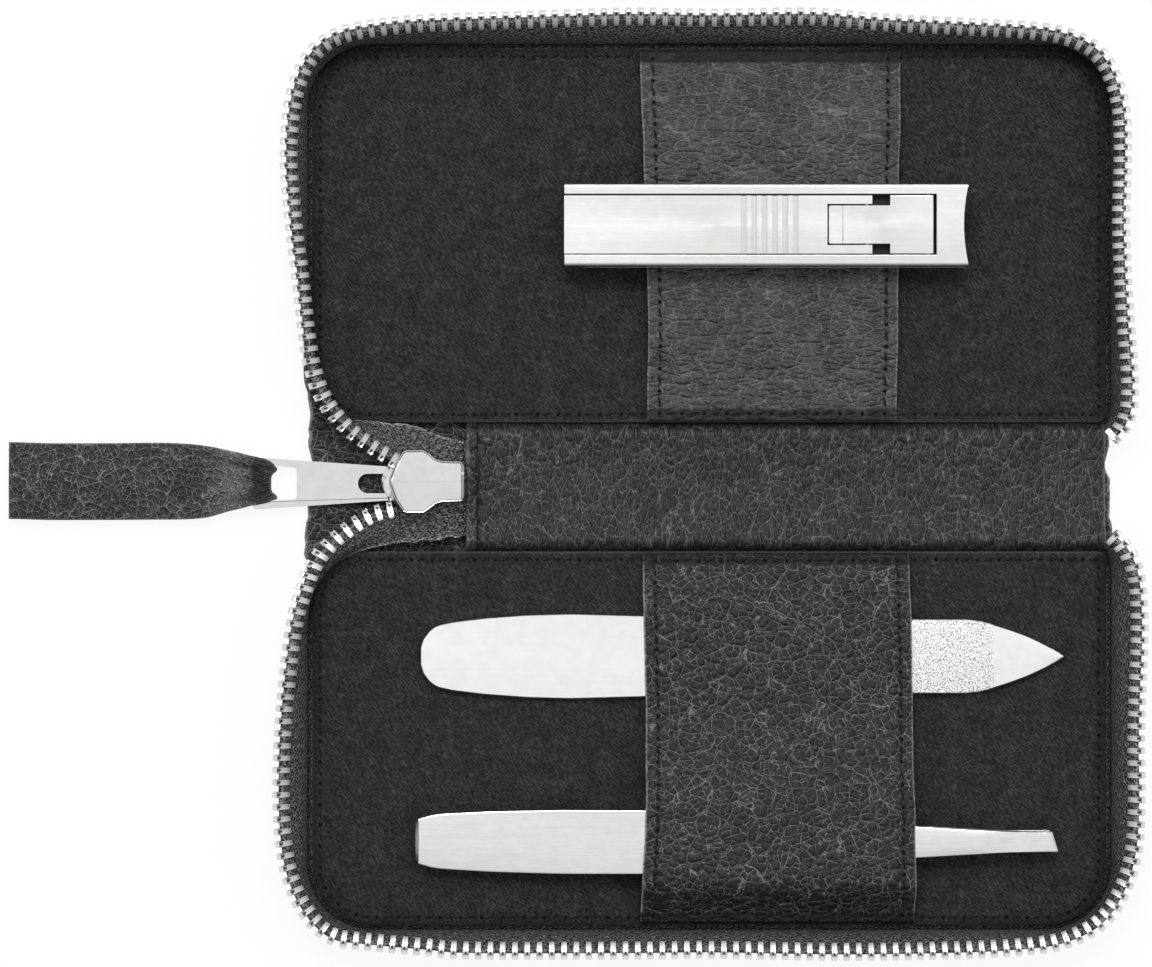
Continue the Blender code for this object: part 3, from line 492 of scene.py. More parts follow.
class Graph:
    """A material's node tree, with short calls that add and join nodes."""

    def __init__(self, name: str) -> None:
        """Starts a material with one shader.

        Args:
            name: Name of the material.
        """
        self.material = bpy.data.materials.new(name)
        self.material.use_nodes = True
        self.tree = self.material.node_tree
        self.shader = self.tree.nodes["Principled BSDF"]

    def put(self, socket: bpy.types.NodeSocket, value: object) -> None:
        """Joins a node's output to a socket, or sets the socket's own value."""
        if isinstance(value, bpy.types.NodeSocket):
            self.tree.links.new(value, socket)
        else:
            socket.default_value = value

    def node(self, kind: str, inputs: dict | None = None, **settings: object) -> bpy.types.Node:
        """Adds a node.

        Args:
            kind: Node type without its ShaderNode prefix.
            inputs: Values or outputs for its inputs, by name or number.
            settings: Properties of the node.

        Returns:
            The node.
        """
        made = self.tree.nodes.new("ShaderNode" + kind)
        for key, value in settings.items():
            setattr(made, key, value)
        for key, value in (inputs or {}).items():
            self.put(made.inputs[key], value)
        return made

    def sum(self, operation: str, a: object, b: object = 0.0, c: object = 0.0) -> bpy.types.NodeSocket:
        """The result of one Math node."""
        return self.node("Math", {0: a, 1: b, 2: c}, operation=operation).outputs[0]

    def between(self, value: object, low: float, high: float, out: tuple = (0.0, 1.0)) -> bpy.types.NodeSocket:
        """A value's smooth step from low to high, as a range of its own."""
        inputs = {0: value, 1: low, 2: high, 3: out[0], 4: out[1]}
        return self.node("MapRange", inputs, interpolation_type="SMOOTHSTEP").outputs[0]

    def blend(self, share: object, a: object, b: object) -> bpy.types.NodeSocket:
        """A colour between two colours."""
        made = self.node("Mix", data_type="RGBA")
        for index, value in ((0, share), (6, a), (7, b)):
            self.put(made.inputs[index], value)
        return made.outputs[2]

    def mark(self, label: str) -> bpy.types.NodeSocket:
        """A value that the mesh carries."""
        return self.node("Attribute", attribute_name=label).outputs["Fac"]

    def flat(self) -> bpy.types.NodeSocket:
        """The place on the flat piece, in millimetres."""
        return self.node("UVMap", uv_map="flat").outputs[0]

    def solid(self) -> bpy.types.NodeSocket:
        """The place in the piece's own space, in millimetres."""
        place = self.node("TexCoord").outputs["Object"]
        return self.mapped(place, scale=(1000.0, 1000.0, 1000.0))

    def mapped(self, vector: object, scale: tuple = (1.0, 1.0, 1.0), turn: float = 0.0) -> bpy.types.NodeSocket:
        """A vector turned about Z and scaled."""
        inputs = {"Vector": vector, "Scale": scale, "Rotation": (0.0, 0.0, turn)}
        return self.node("Mapping", inputs).outputs[0]

    def noise(self, vector: object, scale: float, detail: float = 2.0, rough: float = 0.5) -> bpy.types.NodeSocket:
        """The value of a noise texture."""
        inputs = {"Vector": vector, "Scale": scale, "Detail": detail, "Roughness": rough}
        return self.node("TexNoise", inputs).outputs[0]

    def warped(self, vector: object, scale: float, reach: float) -> bpy.types.NodeSocket:
        """A vector shifted by noise."""
        shift = self.noise(vector, scale, 1.0).node.outputs["Color"]
        half = self.node("VectorMath", {0: shift, 1: (0.5, 0.5, 0.5)}, operation="SUBTRACT").outputs[0]
        grown = self.node("VectorMath", {0: half, 3: reach * 2}, operation="SCALE").outputs[0]
        return self.node("VectorMath", {0: vector, 1: grown}, operation="ADD").outputs[0]

    def cells(self, vector: object, scale: float) -> bpy.types.NodeSocket:
        """The distance to the nearest cell edge of a cell pattern."""
        inputs = {"Vector": vector, "Scale": scale}
        made = self.node("TexVoronoi", inputs, feature="DISTANCE_TO_EDGE")
        return made.outputs["Distance"]

    def bump(self, height: object, depth: float) -> None:
        """Gives the shader the relief of a height, depth metres deep."""
        inputs = {"Height": height, "Distance": depth, "Strength": 1.0}
        self.put(self.shader.inputs["Normal"], self.node("Bump", inputs).outputs[0])

    def set(self, **values: object) -> None:
        """Sets inputs of the shader, named with underscores for spaces."""
        for key, value in values.items():
            self.put(self.shader.inputs[key.replace("_", " ")], value)


@dataclass(frozen=True)
class Finish:
    """A finish of the case.

    Attributes:
        name: Name of the material.
        slot: The record's material slot.
        colour: Base colour, linear.
        roughness: Mean roughness.
    """

    name: str
    slot: str
    colour: tuple[float, float, float]
    roughness: float

    def material(self) -> bpy.types.Material:
        """The finish's material, made once."""
        found = bpy.data.materials.get(self.name)
        if found is None:
            graph = Graph(self.name)
            graph.set(Base_Color=(*self.colour, 1.0), Roughness=self.roughness)
            self.dress(graph)
            found = graph.material
        return found

    def dress(self, graph: Graph) -> None:
        """Adds the finish's own detail."""

    def tint(self, factor: float) -> Tone:
        """The base colour, lighter or darker."""
        return (*(min(1.0, c * factor) for c in self.colour), 1.0)


@dataclass(frozen=True)
class GrainLeather(Finish):
    """Black pebbled leather: domed cells of two sizes with thin pale creases between them.

    Attributes:
        stretch: Scale of the pattern along and across the piece, which draws the cells out.
        depth: Depth of the grain.
        cell: Cells for each millimetre.
        line: Strength of the pale creases.
    """

    stretch: tuple[float, float, float] = (0.8, 1.2, 1.0)
    depth: float = 0.00017
    cell: float = 0.8
    line: float = 0.7

    def dress(self, graph: Graph) -> None:
        """Colour, sheen and relief of the grain."""
        flat = graph.flat()
        place = graph.warped(graph.mapped(flat, self.stretch), 0.9, 0.22)
        small = graph.cells(place, self.cell)
        large = graph.cells(place, self.cell * 0.42)
        fine = graph.noise(flat, 2.9, 3.0, 0.85)
        broad = graph.noise(flat, 0.16, 2.0, 0.5)
        broken = graph.between(graph.noise(flat, 0.9, 3.0, 0.7), 0.42, 0.58, (0.1, 1.0))
        domes = graph.sum("MULTIPLY_ADD", graph.between(large, 0.0, 0.2), 0.9, graph.between(small, 0.0, 0.34))
        relief = graph.sum("MULTIPLY_ADD", fine, 0.8, domes)
        relief = graph.sum("MULTIPLY_ADD", broad, 1.6, relief)
        thin = graph.sum("MULTIPLY", graph.between(small, 0.0, 0.045, (1.0, 0.0)), broken)
        patchy = graph.between(broad, 0.3, 0.6, (0.3, 1.0))
        long = graph.sum("MULTIPLY", graph.between(large, 0.0, 0.02, (1.0, 0.0)), patchy)
        creases = graph.sum("MAXIMUM", thin, long)
        body = graph.blend(graph.between(broad, 0.3, 0.7), self.tint(0.75), self.tint(1.25))
        grain = graph.blend(graph.between(fine, 0.46, 0.66, (0.0, 0.6)), body, self.tint(3.0))
        pits = graph.blend(graph.between(fine, 0.34, 0.46, (0.7, 0.0)), grain, self.tint(0.25))
        lined = graph.blend(graph.sum("MULTIPLY", creases, self.line), pits, CREASE_TONE)
        worn = graph.sum("MULTIPLY", graph.mark("wear"), graph.between(fine, 0.38, 0.58, (0.25, 1.0)))
        shown = graph.blend(worn, lined, WORN_LEATHER_TONE)
        # Painted shade: where the mesh carries it, the colour darkens and the gloss dulls.
        shade = graph.mark("shade")
        graph.set(Base_Color=graph.blend(shade, shown, self.tint(0.2)), Specular_IOR_Level=0.3)
        rough = graph.between(fine, 0.2, 0.8, (self.roughness - 0.05, self.roughness + 0.1))
        graph.set(Roughness=graph.sum("MULTIPLY_ADD", shade, 0.3, rough))
        graph.bump(relief, self.depth)


@dataclass(frozen=True)
class Suede(Finish):
    """Napped lining: short hairs in two directions over a mottled ground."""

    def dress(self, graph: Graph) -> None:
        """Colour and nap."""
        flat = graph.flat()
        mottle = graph.noise(flat, 0.35, 3.0, 0.6)
        hairs = None
        for turn, scale, low in ((0.85, 0.8, 0.52), (-0.6, 0.95, 0.56)):
            place = graph.warped(graph.mapped(flat, turn=turn), 0.5, 0.4)
            long = graph.mapped(place, scale=(1.1 * scale, 7.5 * scale, 1.0))
            hair = graph.between(graph.noise(long, 1.0, 2.0, 0.6), low, low + 0.13)
            hairs = hair if hairs is None else graph.sum("MAXIMUM", hairs, hair)
        grit = graph.noise(flat, 9.0, 2.0, 0.7)
        ground = graph.blend(graph.between(mottle, 0.3, 0.7), self.tint(0.5), self.tint(1.05))
        strength = graph.sum("MULTIPLY", hairs, graph.between(mottle, 0.25, 0.75, (0.3, 1.0)))
        colour = graph.blend(strength, ground, self.tint(5.2))
        colour = graph.blend(graph.between(grit, 0.5, 0.8, (0.0, 0.3)), colour, self.tint(3.4))
        colour = graph.blend(graph.mark("wear"), colour, WORN_SUEDE_TONE)
        # Painted shade: darker where the mesh carries it.
        colour = graph.blend(graph.mark("shade"), colour, self.tint(0.3))
        graph.set(Base_Color=colour, Specular_IOR_Level=0.12, Sheen_Weight=0.12, Sheen_Roughness=0.6)
        relief = graph.sum("MULTIPLY_ADD", grit, 0.6, graph.sum("MULTIPLY_ADD", mottle, 1.4, hairs))
        graph.bump(relief, 0.0001)


@dataclass(frozen=True)
class WovenTape(Finish):
    """Zip tape: a chevron weave, height = sin of the place along plus a zigzag of the place across."""

    def dress(self, graph: Graph) -> None:
        """Colour and relief of the weave, with pale broken threads."""
        flat = graph.flat()
        along, across = graph.node("SeparateXYZ", {0: graph.warped(flat, 0.7, 0.12)}).outputs[:2]
        zigzag = graph.sum("PINGPONG", graph.sum("ADD", across, 100.0), 0.7)
        phase = graph.sum("MULTIPLY_ADD", along, 1.0 / 0.62, graph.sum("MULTIPLY", zigzag, 1.3))
        wave = graph.sum("SINE", graph.sum("MULTIPLY", phase, 2 * math.pi))
        grit = graph.noise(flat, 2.6, 3.0, 0.8)
        dash = graph.noise(graph.mapped(flat, (1.3, 4.4, 1.0)), 1.0, 2.0, 0.6)
        thread = graph.between(graph.sum("MULTIPLY_ADD", grit, 2.2, wave), 0.6, 2.2)
        ground = graph.blend(thread, self.tint(0.6), self.tint(3.0))
        colour = graph.blend(graph.between(dash, 0.5, 0.62, (0.0, 0.85)), ground, self.tint(9.0))
        colour = graph.blend(graph.between(grit, 0.54, 0.68, (0.0, 0.8)), colour, self.tint(14.0))
        frayed = graph.sum("MULTIPLY", graph.mark("wear"), graph.between(dash, 0.44, 0.54, (0.05, 1.0)))
        colour = graph.blend(frayed, colour, FRAYED_TAPE_TONE)
        # Painted shadow: near black where the mesh carries it.
        colour = graph.blend(graph.mark("shade"), colour, TAPE_GUTTER_SHADOW_TONE)
        graph.set(Base_Color=colour, Specular_IOR_Level=0.12)
        relief = graph.sum("MULTIPLY_ADD", dash, 0.8, graph.sum("MULTIPLY_ADD", grit, 0.8, wave))
        graph.bump(relief, 0.0001)


@dataclass(frozen=True)
class Metal(Finish):
    """Bright metal, with faint stains in its gloss and fine brush lines along X where it is brushed.

    Attributes:
        brush: Strength of the brush lines.
        stain: Spread of the roughness.
    """

    brush: float = 0.0
    stain: float = 0.05

    def dress(self, graph: Graph) -> None:
        """Colour, gloss and brush lines."""
        place = graph.solid()
        cloud = graph.noise(place, 0.5, 3.0, 0.6)
        graph.set(Metallic=1.0)
        colour = graph.blend(graph.between(cloud, 0.3, 0.7), self.tint(0.97), self.tint(1.02))
        low, high = self.roughness - self.stain, self.roughness + self.stain
        if self.brush:
            lines = graph.noise(graph.mapped(place, (0.05, 9.0, 9.0)), 1.0, 3.0, 0.7)
            wide = graph.noise(graph.mapped(place, (0.02, 1.6, 1.6)), 1.0, 2.0, 0.6)
            both = graph.sum("MULTIPLY_ADD", wide, 0.7, lines)
            dull = graph.between(both, 0.6, 1.1, (0.0, self.brush))
            colour = graph.blend(dull, colour, self.tint(0.74))
            graph.set(Roughness=graph.between(lines, 0.3, 0.7, (low, high)), Anisotropic=0.45)
            graph.bump(lines, 0.000006)
        else:
            graph.set(Roughness=graph.between(cloud, 0.3, 0.7, (low, high)))
        # Painted shade: near black where the mesh carries it.
        dark = graph.between(graph.mark("shade"), 0.3, 0.8)
        graph.set(Base_Color=graph.blend(dark, colour, self.tint(0.1)))


@dataclass(frozen=True)
class Abrasive(Metal):
    """The file's rough patch: sharp grains that glint, on the blade's steel."""

    def dress(self, graph: Graph) -> None:
        """Colour and grains."""
        place = graph.solid()
        grains = graph.node("TexVoronoi", {"Vector": place, "Scale": 4.5})
        glint = graph.noise(place, 4.5, 2.0, 0.8)
        level = graph.sum("MULTIPLY_ADD", grains.outputs["Distance"], -0.8, glint)
        colour = graph.blend(graph.between(level, -0.15, 0.15), self.tint(0.35), self.tint(0.98))
        graph.set(Metallic=0.85, Base_Color=colour)
        graph.bump(graph.sum("MULTIPLY_ADD", grains.outputs["Distance"], -1.0, glint), 0.00003)


@dataclass(frozen=True)
class Thread(Finish):
    """Waxed sewing thread: fine twisted plies."""

    def dress(self, graph: Graph) -> None:
        """Colour and twist."""
        along, around = graph.node("SeparateXYZ", {0: graph.flat()}).outputs[:2]
        phase = graph.sum("ADD", graph.sum("MULTIPLY", along, 4.0), graph.sum("MULTIPLY", around, 2.3))
        twist = graph.sum("SINE", graph.sum("MULTIPLY", phase, 2 * math.pi))
        plies = graph.blend(graph.between(twist, -1.0, 1.0), self.tint(0.5), self.tint(1.5))
        # Painted shade: the needle hole discs are near black.
        graph.set(Base_Color=graph.blend(graph.mark("shade"), plies, self.tint(0.1)), Specular_IOR_Level=0.15)
        graph.bump(twist, 0.00002)


@dataclass(frozen=True)
class Cardboard(Finish):
    """Grey-brown stiffener board with short fibres."""

    def dress(self, graph: Graph) -> None:
        """Colour and fibres."""
        place = graph.solid()
        fibre = graph.noise(graph.mapped(place, (0.7, 4.0, 4.0), 0.4), 1.0, 4.0, 0.7)
        graph.set(Base_Color=graph.blend(graph.between(fibre, 0.3, 0.7), self.tint(0.7), self.tint(1.2)))
        graph.bump(fibre, 0.00004)


CASE_LEATHER = GrainLeather("leather_case", "leather", (0.0115, 0.0115, 0.0118), 0.42, line=0.6)
SPINE_GRAIN = GrainLeather(
    "leather_spine", "leather", (0.0165, 0.0165, 0.0168), 0.42, (1.3, 0.7, 1.0), 0.00016, 1.0, 0.4
)
# The upper strap is the same black leather, given a much lighter base colour as painted light for the sheen it catches.
UPPER_GRAIN_PAINTED_LIT = GrainLeather(
    "leather_upper_strap_painted_lit", "leather", (0.055, 0.055, 0.0555), 0.4, (0.6, 1.4, 1.0), 0.00036, 0.8, 0.45
)
LOWER_GRAIN = GrainLeather(
    "leather_lower_strap", "leather", (0.0105, 0.0105, 0.0108), 0.4, (0.95, 1.05, 1.0), 0.00014, 0.85, 0.5
)
# The pull strap is the same black leather, given a lighter base colour as painted light.
PULL_GRAIN_PAINTED_LIT = GrainLeather("leather_pull_painted_lit", "leather", (0.026, 0.026, 0.0265), 0.4, (1.0, 1.0, 1.0), 0.00024, 1.05, 0.75)
LINING = Suede("suede_lining", "lining", (0.014, 0.014, 0.0145), 0.95)
TAPE = WovenTape("woven_zip_tape", "zip_tape", (0.027, 0.027, 0.0275), 0.85)
THREAD = Thread("waxed_thread", "lining", (0.008, 0.008, 0.0085), 0.6)
BOARD = Cardboard("stiffener_board", "stiffener", (0.25, 0.23, 0.2), 0.9)
NICKEL = Metal("nickel_teeth", "zip_metal", (0.7, 0.7, 0.695), 0.2)
POLISHED = Metal("polished_nickel", "polished_metal", (0.72, 0.72, 0.72), 0.1, stain=0.03)
STEEL = Metal("brushed_steel", "steel", (0.8, 0.8, 0.795), 0.17, brush=0.35, stain=0.03)
FILE_STEEL = Metal("fine_steel", "steel", (0.89, 0.89, 0.885), 0.18, brush=0.1, stain=0.0)
# Darker steel on the lever's groove floors: painted shade in the grooves.
GROOVE_SHADE = Metal("groove_steel_painted_shade", "steel", (0.62, 0.62, 0.62), 0.2, stain=0.0)
# Near black on the upper leaf's pocket floor, which is steel: painted shadow in the pocket.
POCKET_SHADOW = Metal("painted_pocket_shadow", "steel", (0.02, 0.02, 0.02), 0.5)
GRIT = Abrasive("file_grit", "steel", (0.8, 0.8, 0.8), 0.4)


def settle(piece: bpy.types.Object, finish: Finish, *nodes: str) -> None:
    """Hides the CAD nodes that a piece stands for and logs its number of faces."""
    if nodes:
        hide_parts(*nodes)
    LOG.info("%s: %d faces", piece.name, len(piece.data.polygons))


# The case


@dataclass
class Cover:
    """The outer leather: one sheet, built as two halves that meet at the middle line.

    Attributes:
        left: Its left edge.
        right: Its right edge.
        outer: Distance of its outer edges from the middle line.
        corners: Radii of its outer corners on the left of the upper half, the left of the lower and the right.
        thickness: Its thickness.
        wave: How far the free edges at the spine wander.
    """

    left: float = -0.0608
    right: float = 0.0601
    outer: float = 0.06655
    corners: tuple[float, float, float] = (0.0105, 0.0068, 0.0105)
    thickness: float = 0.0010
    wave: float = 0.0013

    def relief(self, x: Array, y: Array) -> Array:
        """Height of the wrinkles: ridged noise that runs across the leather left of the slider."""
        bare = ease((-0.0435 - x) / 0.006) * ease((0.019 - np.abs(y)) / 0.006)
        slope = soft_noise(x * 0.8 + y * 0.35, y, 0.0026, 3)
        fold = 1.0 - np.abs(slope)
        sharp = (1.0 - np.abs(soft_noise(x * 0.5 - y * 0.9, x * 0.8 + y * 0.6, 0.0019, 5))) ** 3
        return bare * (0.0005 * fold**2 + 0.00028 * sharp + 0.00012 * soft_noise(x, y, 0.0011, 4))

    def build_half(self, half: Half) -> None:
        """One half of the sheet, from the middle line outwards.

        Args:
            half: The half of the case.
        """
        radii = (0.0, 0.0, self.corners[0 if half is Half.UPPER else 1], self.corners[2])
        whole, panel = (RoundedPanel(self.left, self.right, low, self.outer, radii) for low in (-1.0, 0.0))
        x, y = panel.grid(0.0008, 0.0005)
        edge = whole.inside(x, y)
        free = ease((0.0175 - y) / 0.006)
        sway = soft_noise(x * 0.0, half.side * y, 0.0032, 8) + 0.5 * soft_noise(x * 0.0, half.side * y, 0.0011, 9)
        middle = (self.left + self.right) / 2
        inward = np.where(x < middle, 1.0, -1.0) * (0.55 + 0.45 * sway)
        x = x + free * self.wave * inward * ease((np.abs(x - middle) - 0.045) / 0.014)
        z = self.thickness / 2 + self.relief(x, half.side * y)
        z += free * 0.0002 * (1 + soft_noise(x, half.side * y, 0.0021, 6)) * ease(1 - edge / 0.003)
        points = stacked(x, half.side * y, z)
        thick = rounded_edge(edge, 0.0005, self.thickness)
        worn = ease(1.0 - edge / 0.0006) * (0.35 + 0.3 * free)
        ply = slab(points, thick, points[..., :2], wear=worn)
        piece = ply.build(f"cover_leather_{half.value}", CASE_LEATHER)
        half.bend(piece)
        extra = ("outer_cover_spine",) if half is Half.UPPER else ()
        settle(piece, CASE_LEATHER, f"outer_cover_{half.value}", *extra)

    def build(self) -> None:
        """Both halves of the sheet."""
        for half in Half:
            self.build_half(half)


@dataclass
class SpineLeather:
    """The spine's inner leather: a soft cushion between the folds, tucked under both linings.

    Attributes:
        left: Its turned and stitched left edge.
        right: Its right edge.
        reach: How far it goes under the linings.
        top: Height of its middle surface along the middle of the spine.
        swell: How much higher it lies beside the folds.
        tuck: Height of its middle surface under the linings.
        thickness: Its thickness.
        hem: Width of the turned edge.
        pitch: Distance between two needle holes along the hem.
    """

    left: float = -0.0364
    right: float = 0.0584
    reach: float = 0.0113
    top: float = 0.0024
    swell: float = 0.0011
    tuck: float = 0.00178
    thickness: float = 0.0006
    hem: float = 0.0016
    pitch: float = 0.0032

    def height(self, x: Array, y: Array) -> Array:
        """Height of the middle surface: a shallow trough that rises to both folds, with a step at the hem."""
        bowl = self.top + self.swell * np.minimum(np.abs(y) / 0.0082, 1.0) ** 2
        crown = bowl + (self.tuck - bowl) * ease((np.abs(y) - 0.0078) / 0.0020)
        along = x - self.left
        crown = crown + 0.0006 * ease((0.004 - along) / 0.004) * ease((0.0095 - np.abs(y)) / 0.002)
        groove = -0.00022 * bell(along - self.hem, 0.0001, 0.00035)
        pucker = 0.00007 * np.cos(2 * math.pi * y / self.pitch) * bell(along, self.hem, 0.0009)
        fan = ease((0.02 - along) / 0.02) * ease((0.0085 - np.abs(y)) / 0.004)
        ridge = 1.0 - np.abs(soft_noise(x * 1.9, y * 0.45, 0.0026, 21))
        drift = 1.0 - np.abs(soft_noise(x * 0.35 - y * 0.9, y * 1.2, 0.0034, 22))
        soft = 0.00026 * fan * ridge**3 + 0.00020 * drift**4 * ease(along / 0.02)
        return crown + groove + pucker + soft * ease((0.0095 - np.abs(y)) / 0.003)

    def build(self) -> None:
        """Both halves of the leather, with painted shade of needle holes along the hem."""
        edge_reach = 0.0003
        for half in Half:
            whole, panel = (
                RoundedPanel(self.left, self.right, low, self.reach, (0.0, 0.0, 0.0004, 0.0004)) for low in (-1.0, 0.0)
            )
            x, y = panel.grid(0.00045, edge_reach)
            edge = whole.inside(x, y)
            z = self.height(x, half.side * y)
            turned = ease((self.left + self.hem - x) / 0.0003)
            points = stacked(x, half.side * y, z + turned * 0.00025)
            thick = rounded_edge(edge, edge_reach, self.thickness) * (1 + 0.75 * turned)
            # Painted shade of needle holes along the hem.
            nick = bell(x - self.left - self.hem, 0.0002, 0.0004)
            holes = nick * ease((np.cos(2 * math.pi * (half.side * y - 0.0008) / self.pitch) - 0.35) / 0.5)
            at_left = ease((self.left + 0.0004 - x) / 0.0004) * 0.3
            worn = np.maximum(at_left, ease((x - self.right + 0.0004) / 0.0004) * 0.4)
            # Painted shadow along the line where the leather goes under the lining's edge.
            fold_line_shade = bell(y, 0.0093, 0.0008)
            ply = slab(points, thick, points[..., :2], wear=worn, shade=np.maximum(holes * 0.9, fold_line_shade * 0.75))
            piece = ply.build(f"spine_leather_{half.value}", SPINE_GRAIN)
            half.bend(piece)
            settle(piece, SPINE_GRAIN, *(("spine_lining",) if half is Half.UPPER else ()))


@dataclass
class LiningPanel:
    """The suede lining of one half, sewn round its edge, with its turned edge at the fold.

    Attributes:
        half: The half of the case.
        left: Its left edge.
        right: Its right edge.
        inner: Distance of its edge at the fold from the middle line.
        outer: Distance of its outer edge from the middle line.
        corner: Radius of its outer corners.
        slider_corner: Radius of its corner at the zip slider.
        bottom: Height of its underside.
        thickness: Its thickness.
        seam: Distance of the stitches from the edge.
    """

    half: Half
    left: float = -0.0593
    right: float = 0.0586
    inner: float = 0.0096
    outer: float = 0.06505
    corner: float = 0.009
    slider_corner: float = 0.0085
    bottom: float = 0.0024
    thickness: float = 0.0006
    seam: float = 0.0012

    def panel(self, inset: float = 0.0) -> RoundedPanel:
        """The outline of the lining, or a line inside it."""
        return RoundedPanel(
            self.left + inset,
            self.right - inset,
            self.inner + inset,
            self.outer - inset,
            (self.slider_corner - inset, 0.0015 - inset / 2, self.corner - inset, self.corner - inset),
        )

    def top(self, x: Array, y: Array) -> Array:
        """Height of the upper face: a groove along the seam and a soft swell inside it."""
        away = self.panel().inside(x, np.abs(y))
        groove = -0.00004 * bell(away, self.seam, 0.0005)
        swell = 0.00005 * soft_noise(x, y, 0.009, 31) * ease(away / 0.004)
        return self.bottom + self.thickness + groove + swell

    def seam_path(self) -> Array:
        """The seam, from the slider's corner round the outer edge and back along the fold."""
        inset = self.panel(self.seam)
        rows = inset.low + (inset.high - inset.low) * (1 - np.cos(np.linspace(0, math.pi, 120))) / 2
        left, right = inset.span(rows)
        loop = np.concatenate((np.stack((left, rows), axis=1), np.stack((right, rows), axis=1)[::-1]))
        loop = np.concatenate((loop, loop[:1]))
        return loop * np.array((1.0, self.half.side))

    def build(self) -> None:
        """The lining and its stitches."""
        x, y = self.panel().grid(0.0007, 0.0003)
        side = self.half.side
        edge = self.panel().inside(x, y)
        top = self.top(x, side * y)
        rise = top - self.bottom - self.thickness
        thick = rounded_edge(edge, 0.0003, self.thickness) + rise
        points = stacked(x, side * y, self.bottom + self.thickness / 2 + rise / 2)
        # Painted shade along the seam's groove.
        seam = bell(edge, self.seam, 0.00035)
        at_fold = ease((self.inner + 0.0009 - y) / 0.0004)
        worn = ease(1 - edge / 0.00035) * (0.25 + 0.2 * at_fold)
        # Painted shadow along the lining's edge beside the tape's gutter, not at the fold.
        deep = bell(edge, 0.0, 0.0011) * (1 - at_fold) * 0.75
        ply = slab(points, np.maximum(thick, 0.0), points[..., :2], wear=worn, shade=np.maximum(seam * 0.3, deep))
        piece = ply.build(f"suede_lining_{self.half.value}", LINING)
        self.half.bend(piece)
        settle(piece, LINING, f"lining_{self.half.value}")
        sewn = stitches(self.seam_path(), self.top, 0.0017).build(f"lining_stitches_{self.half.value}", THREAD)
        self.half.bend(sewn)
        settle(sewn, THREAD)


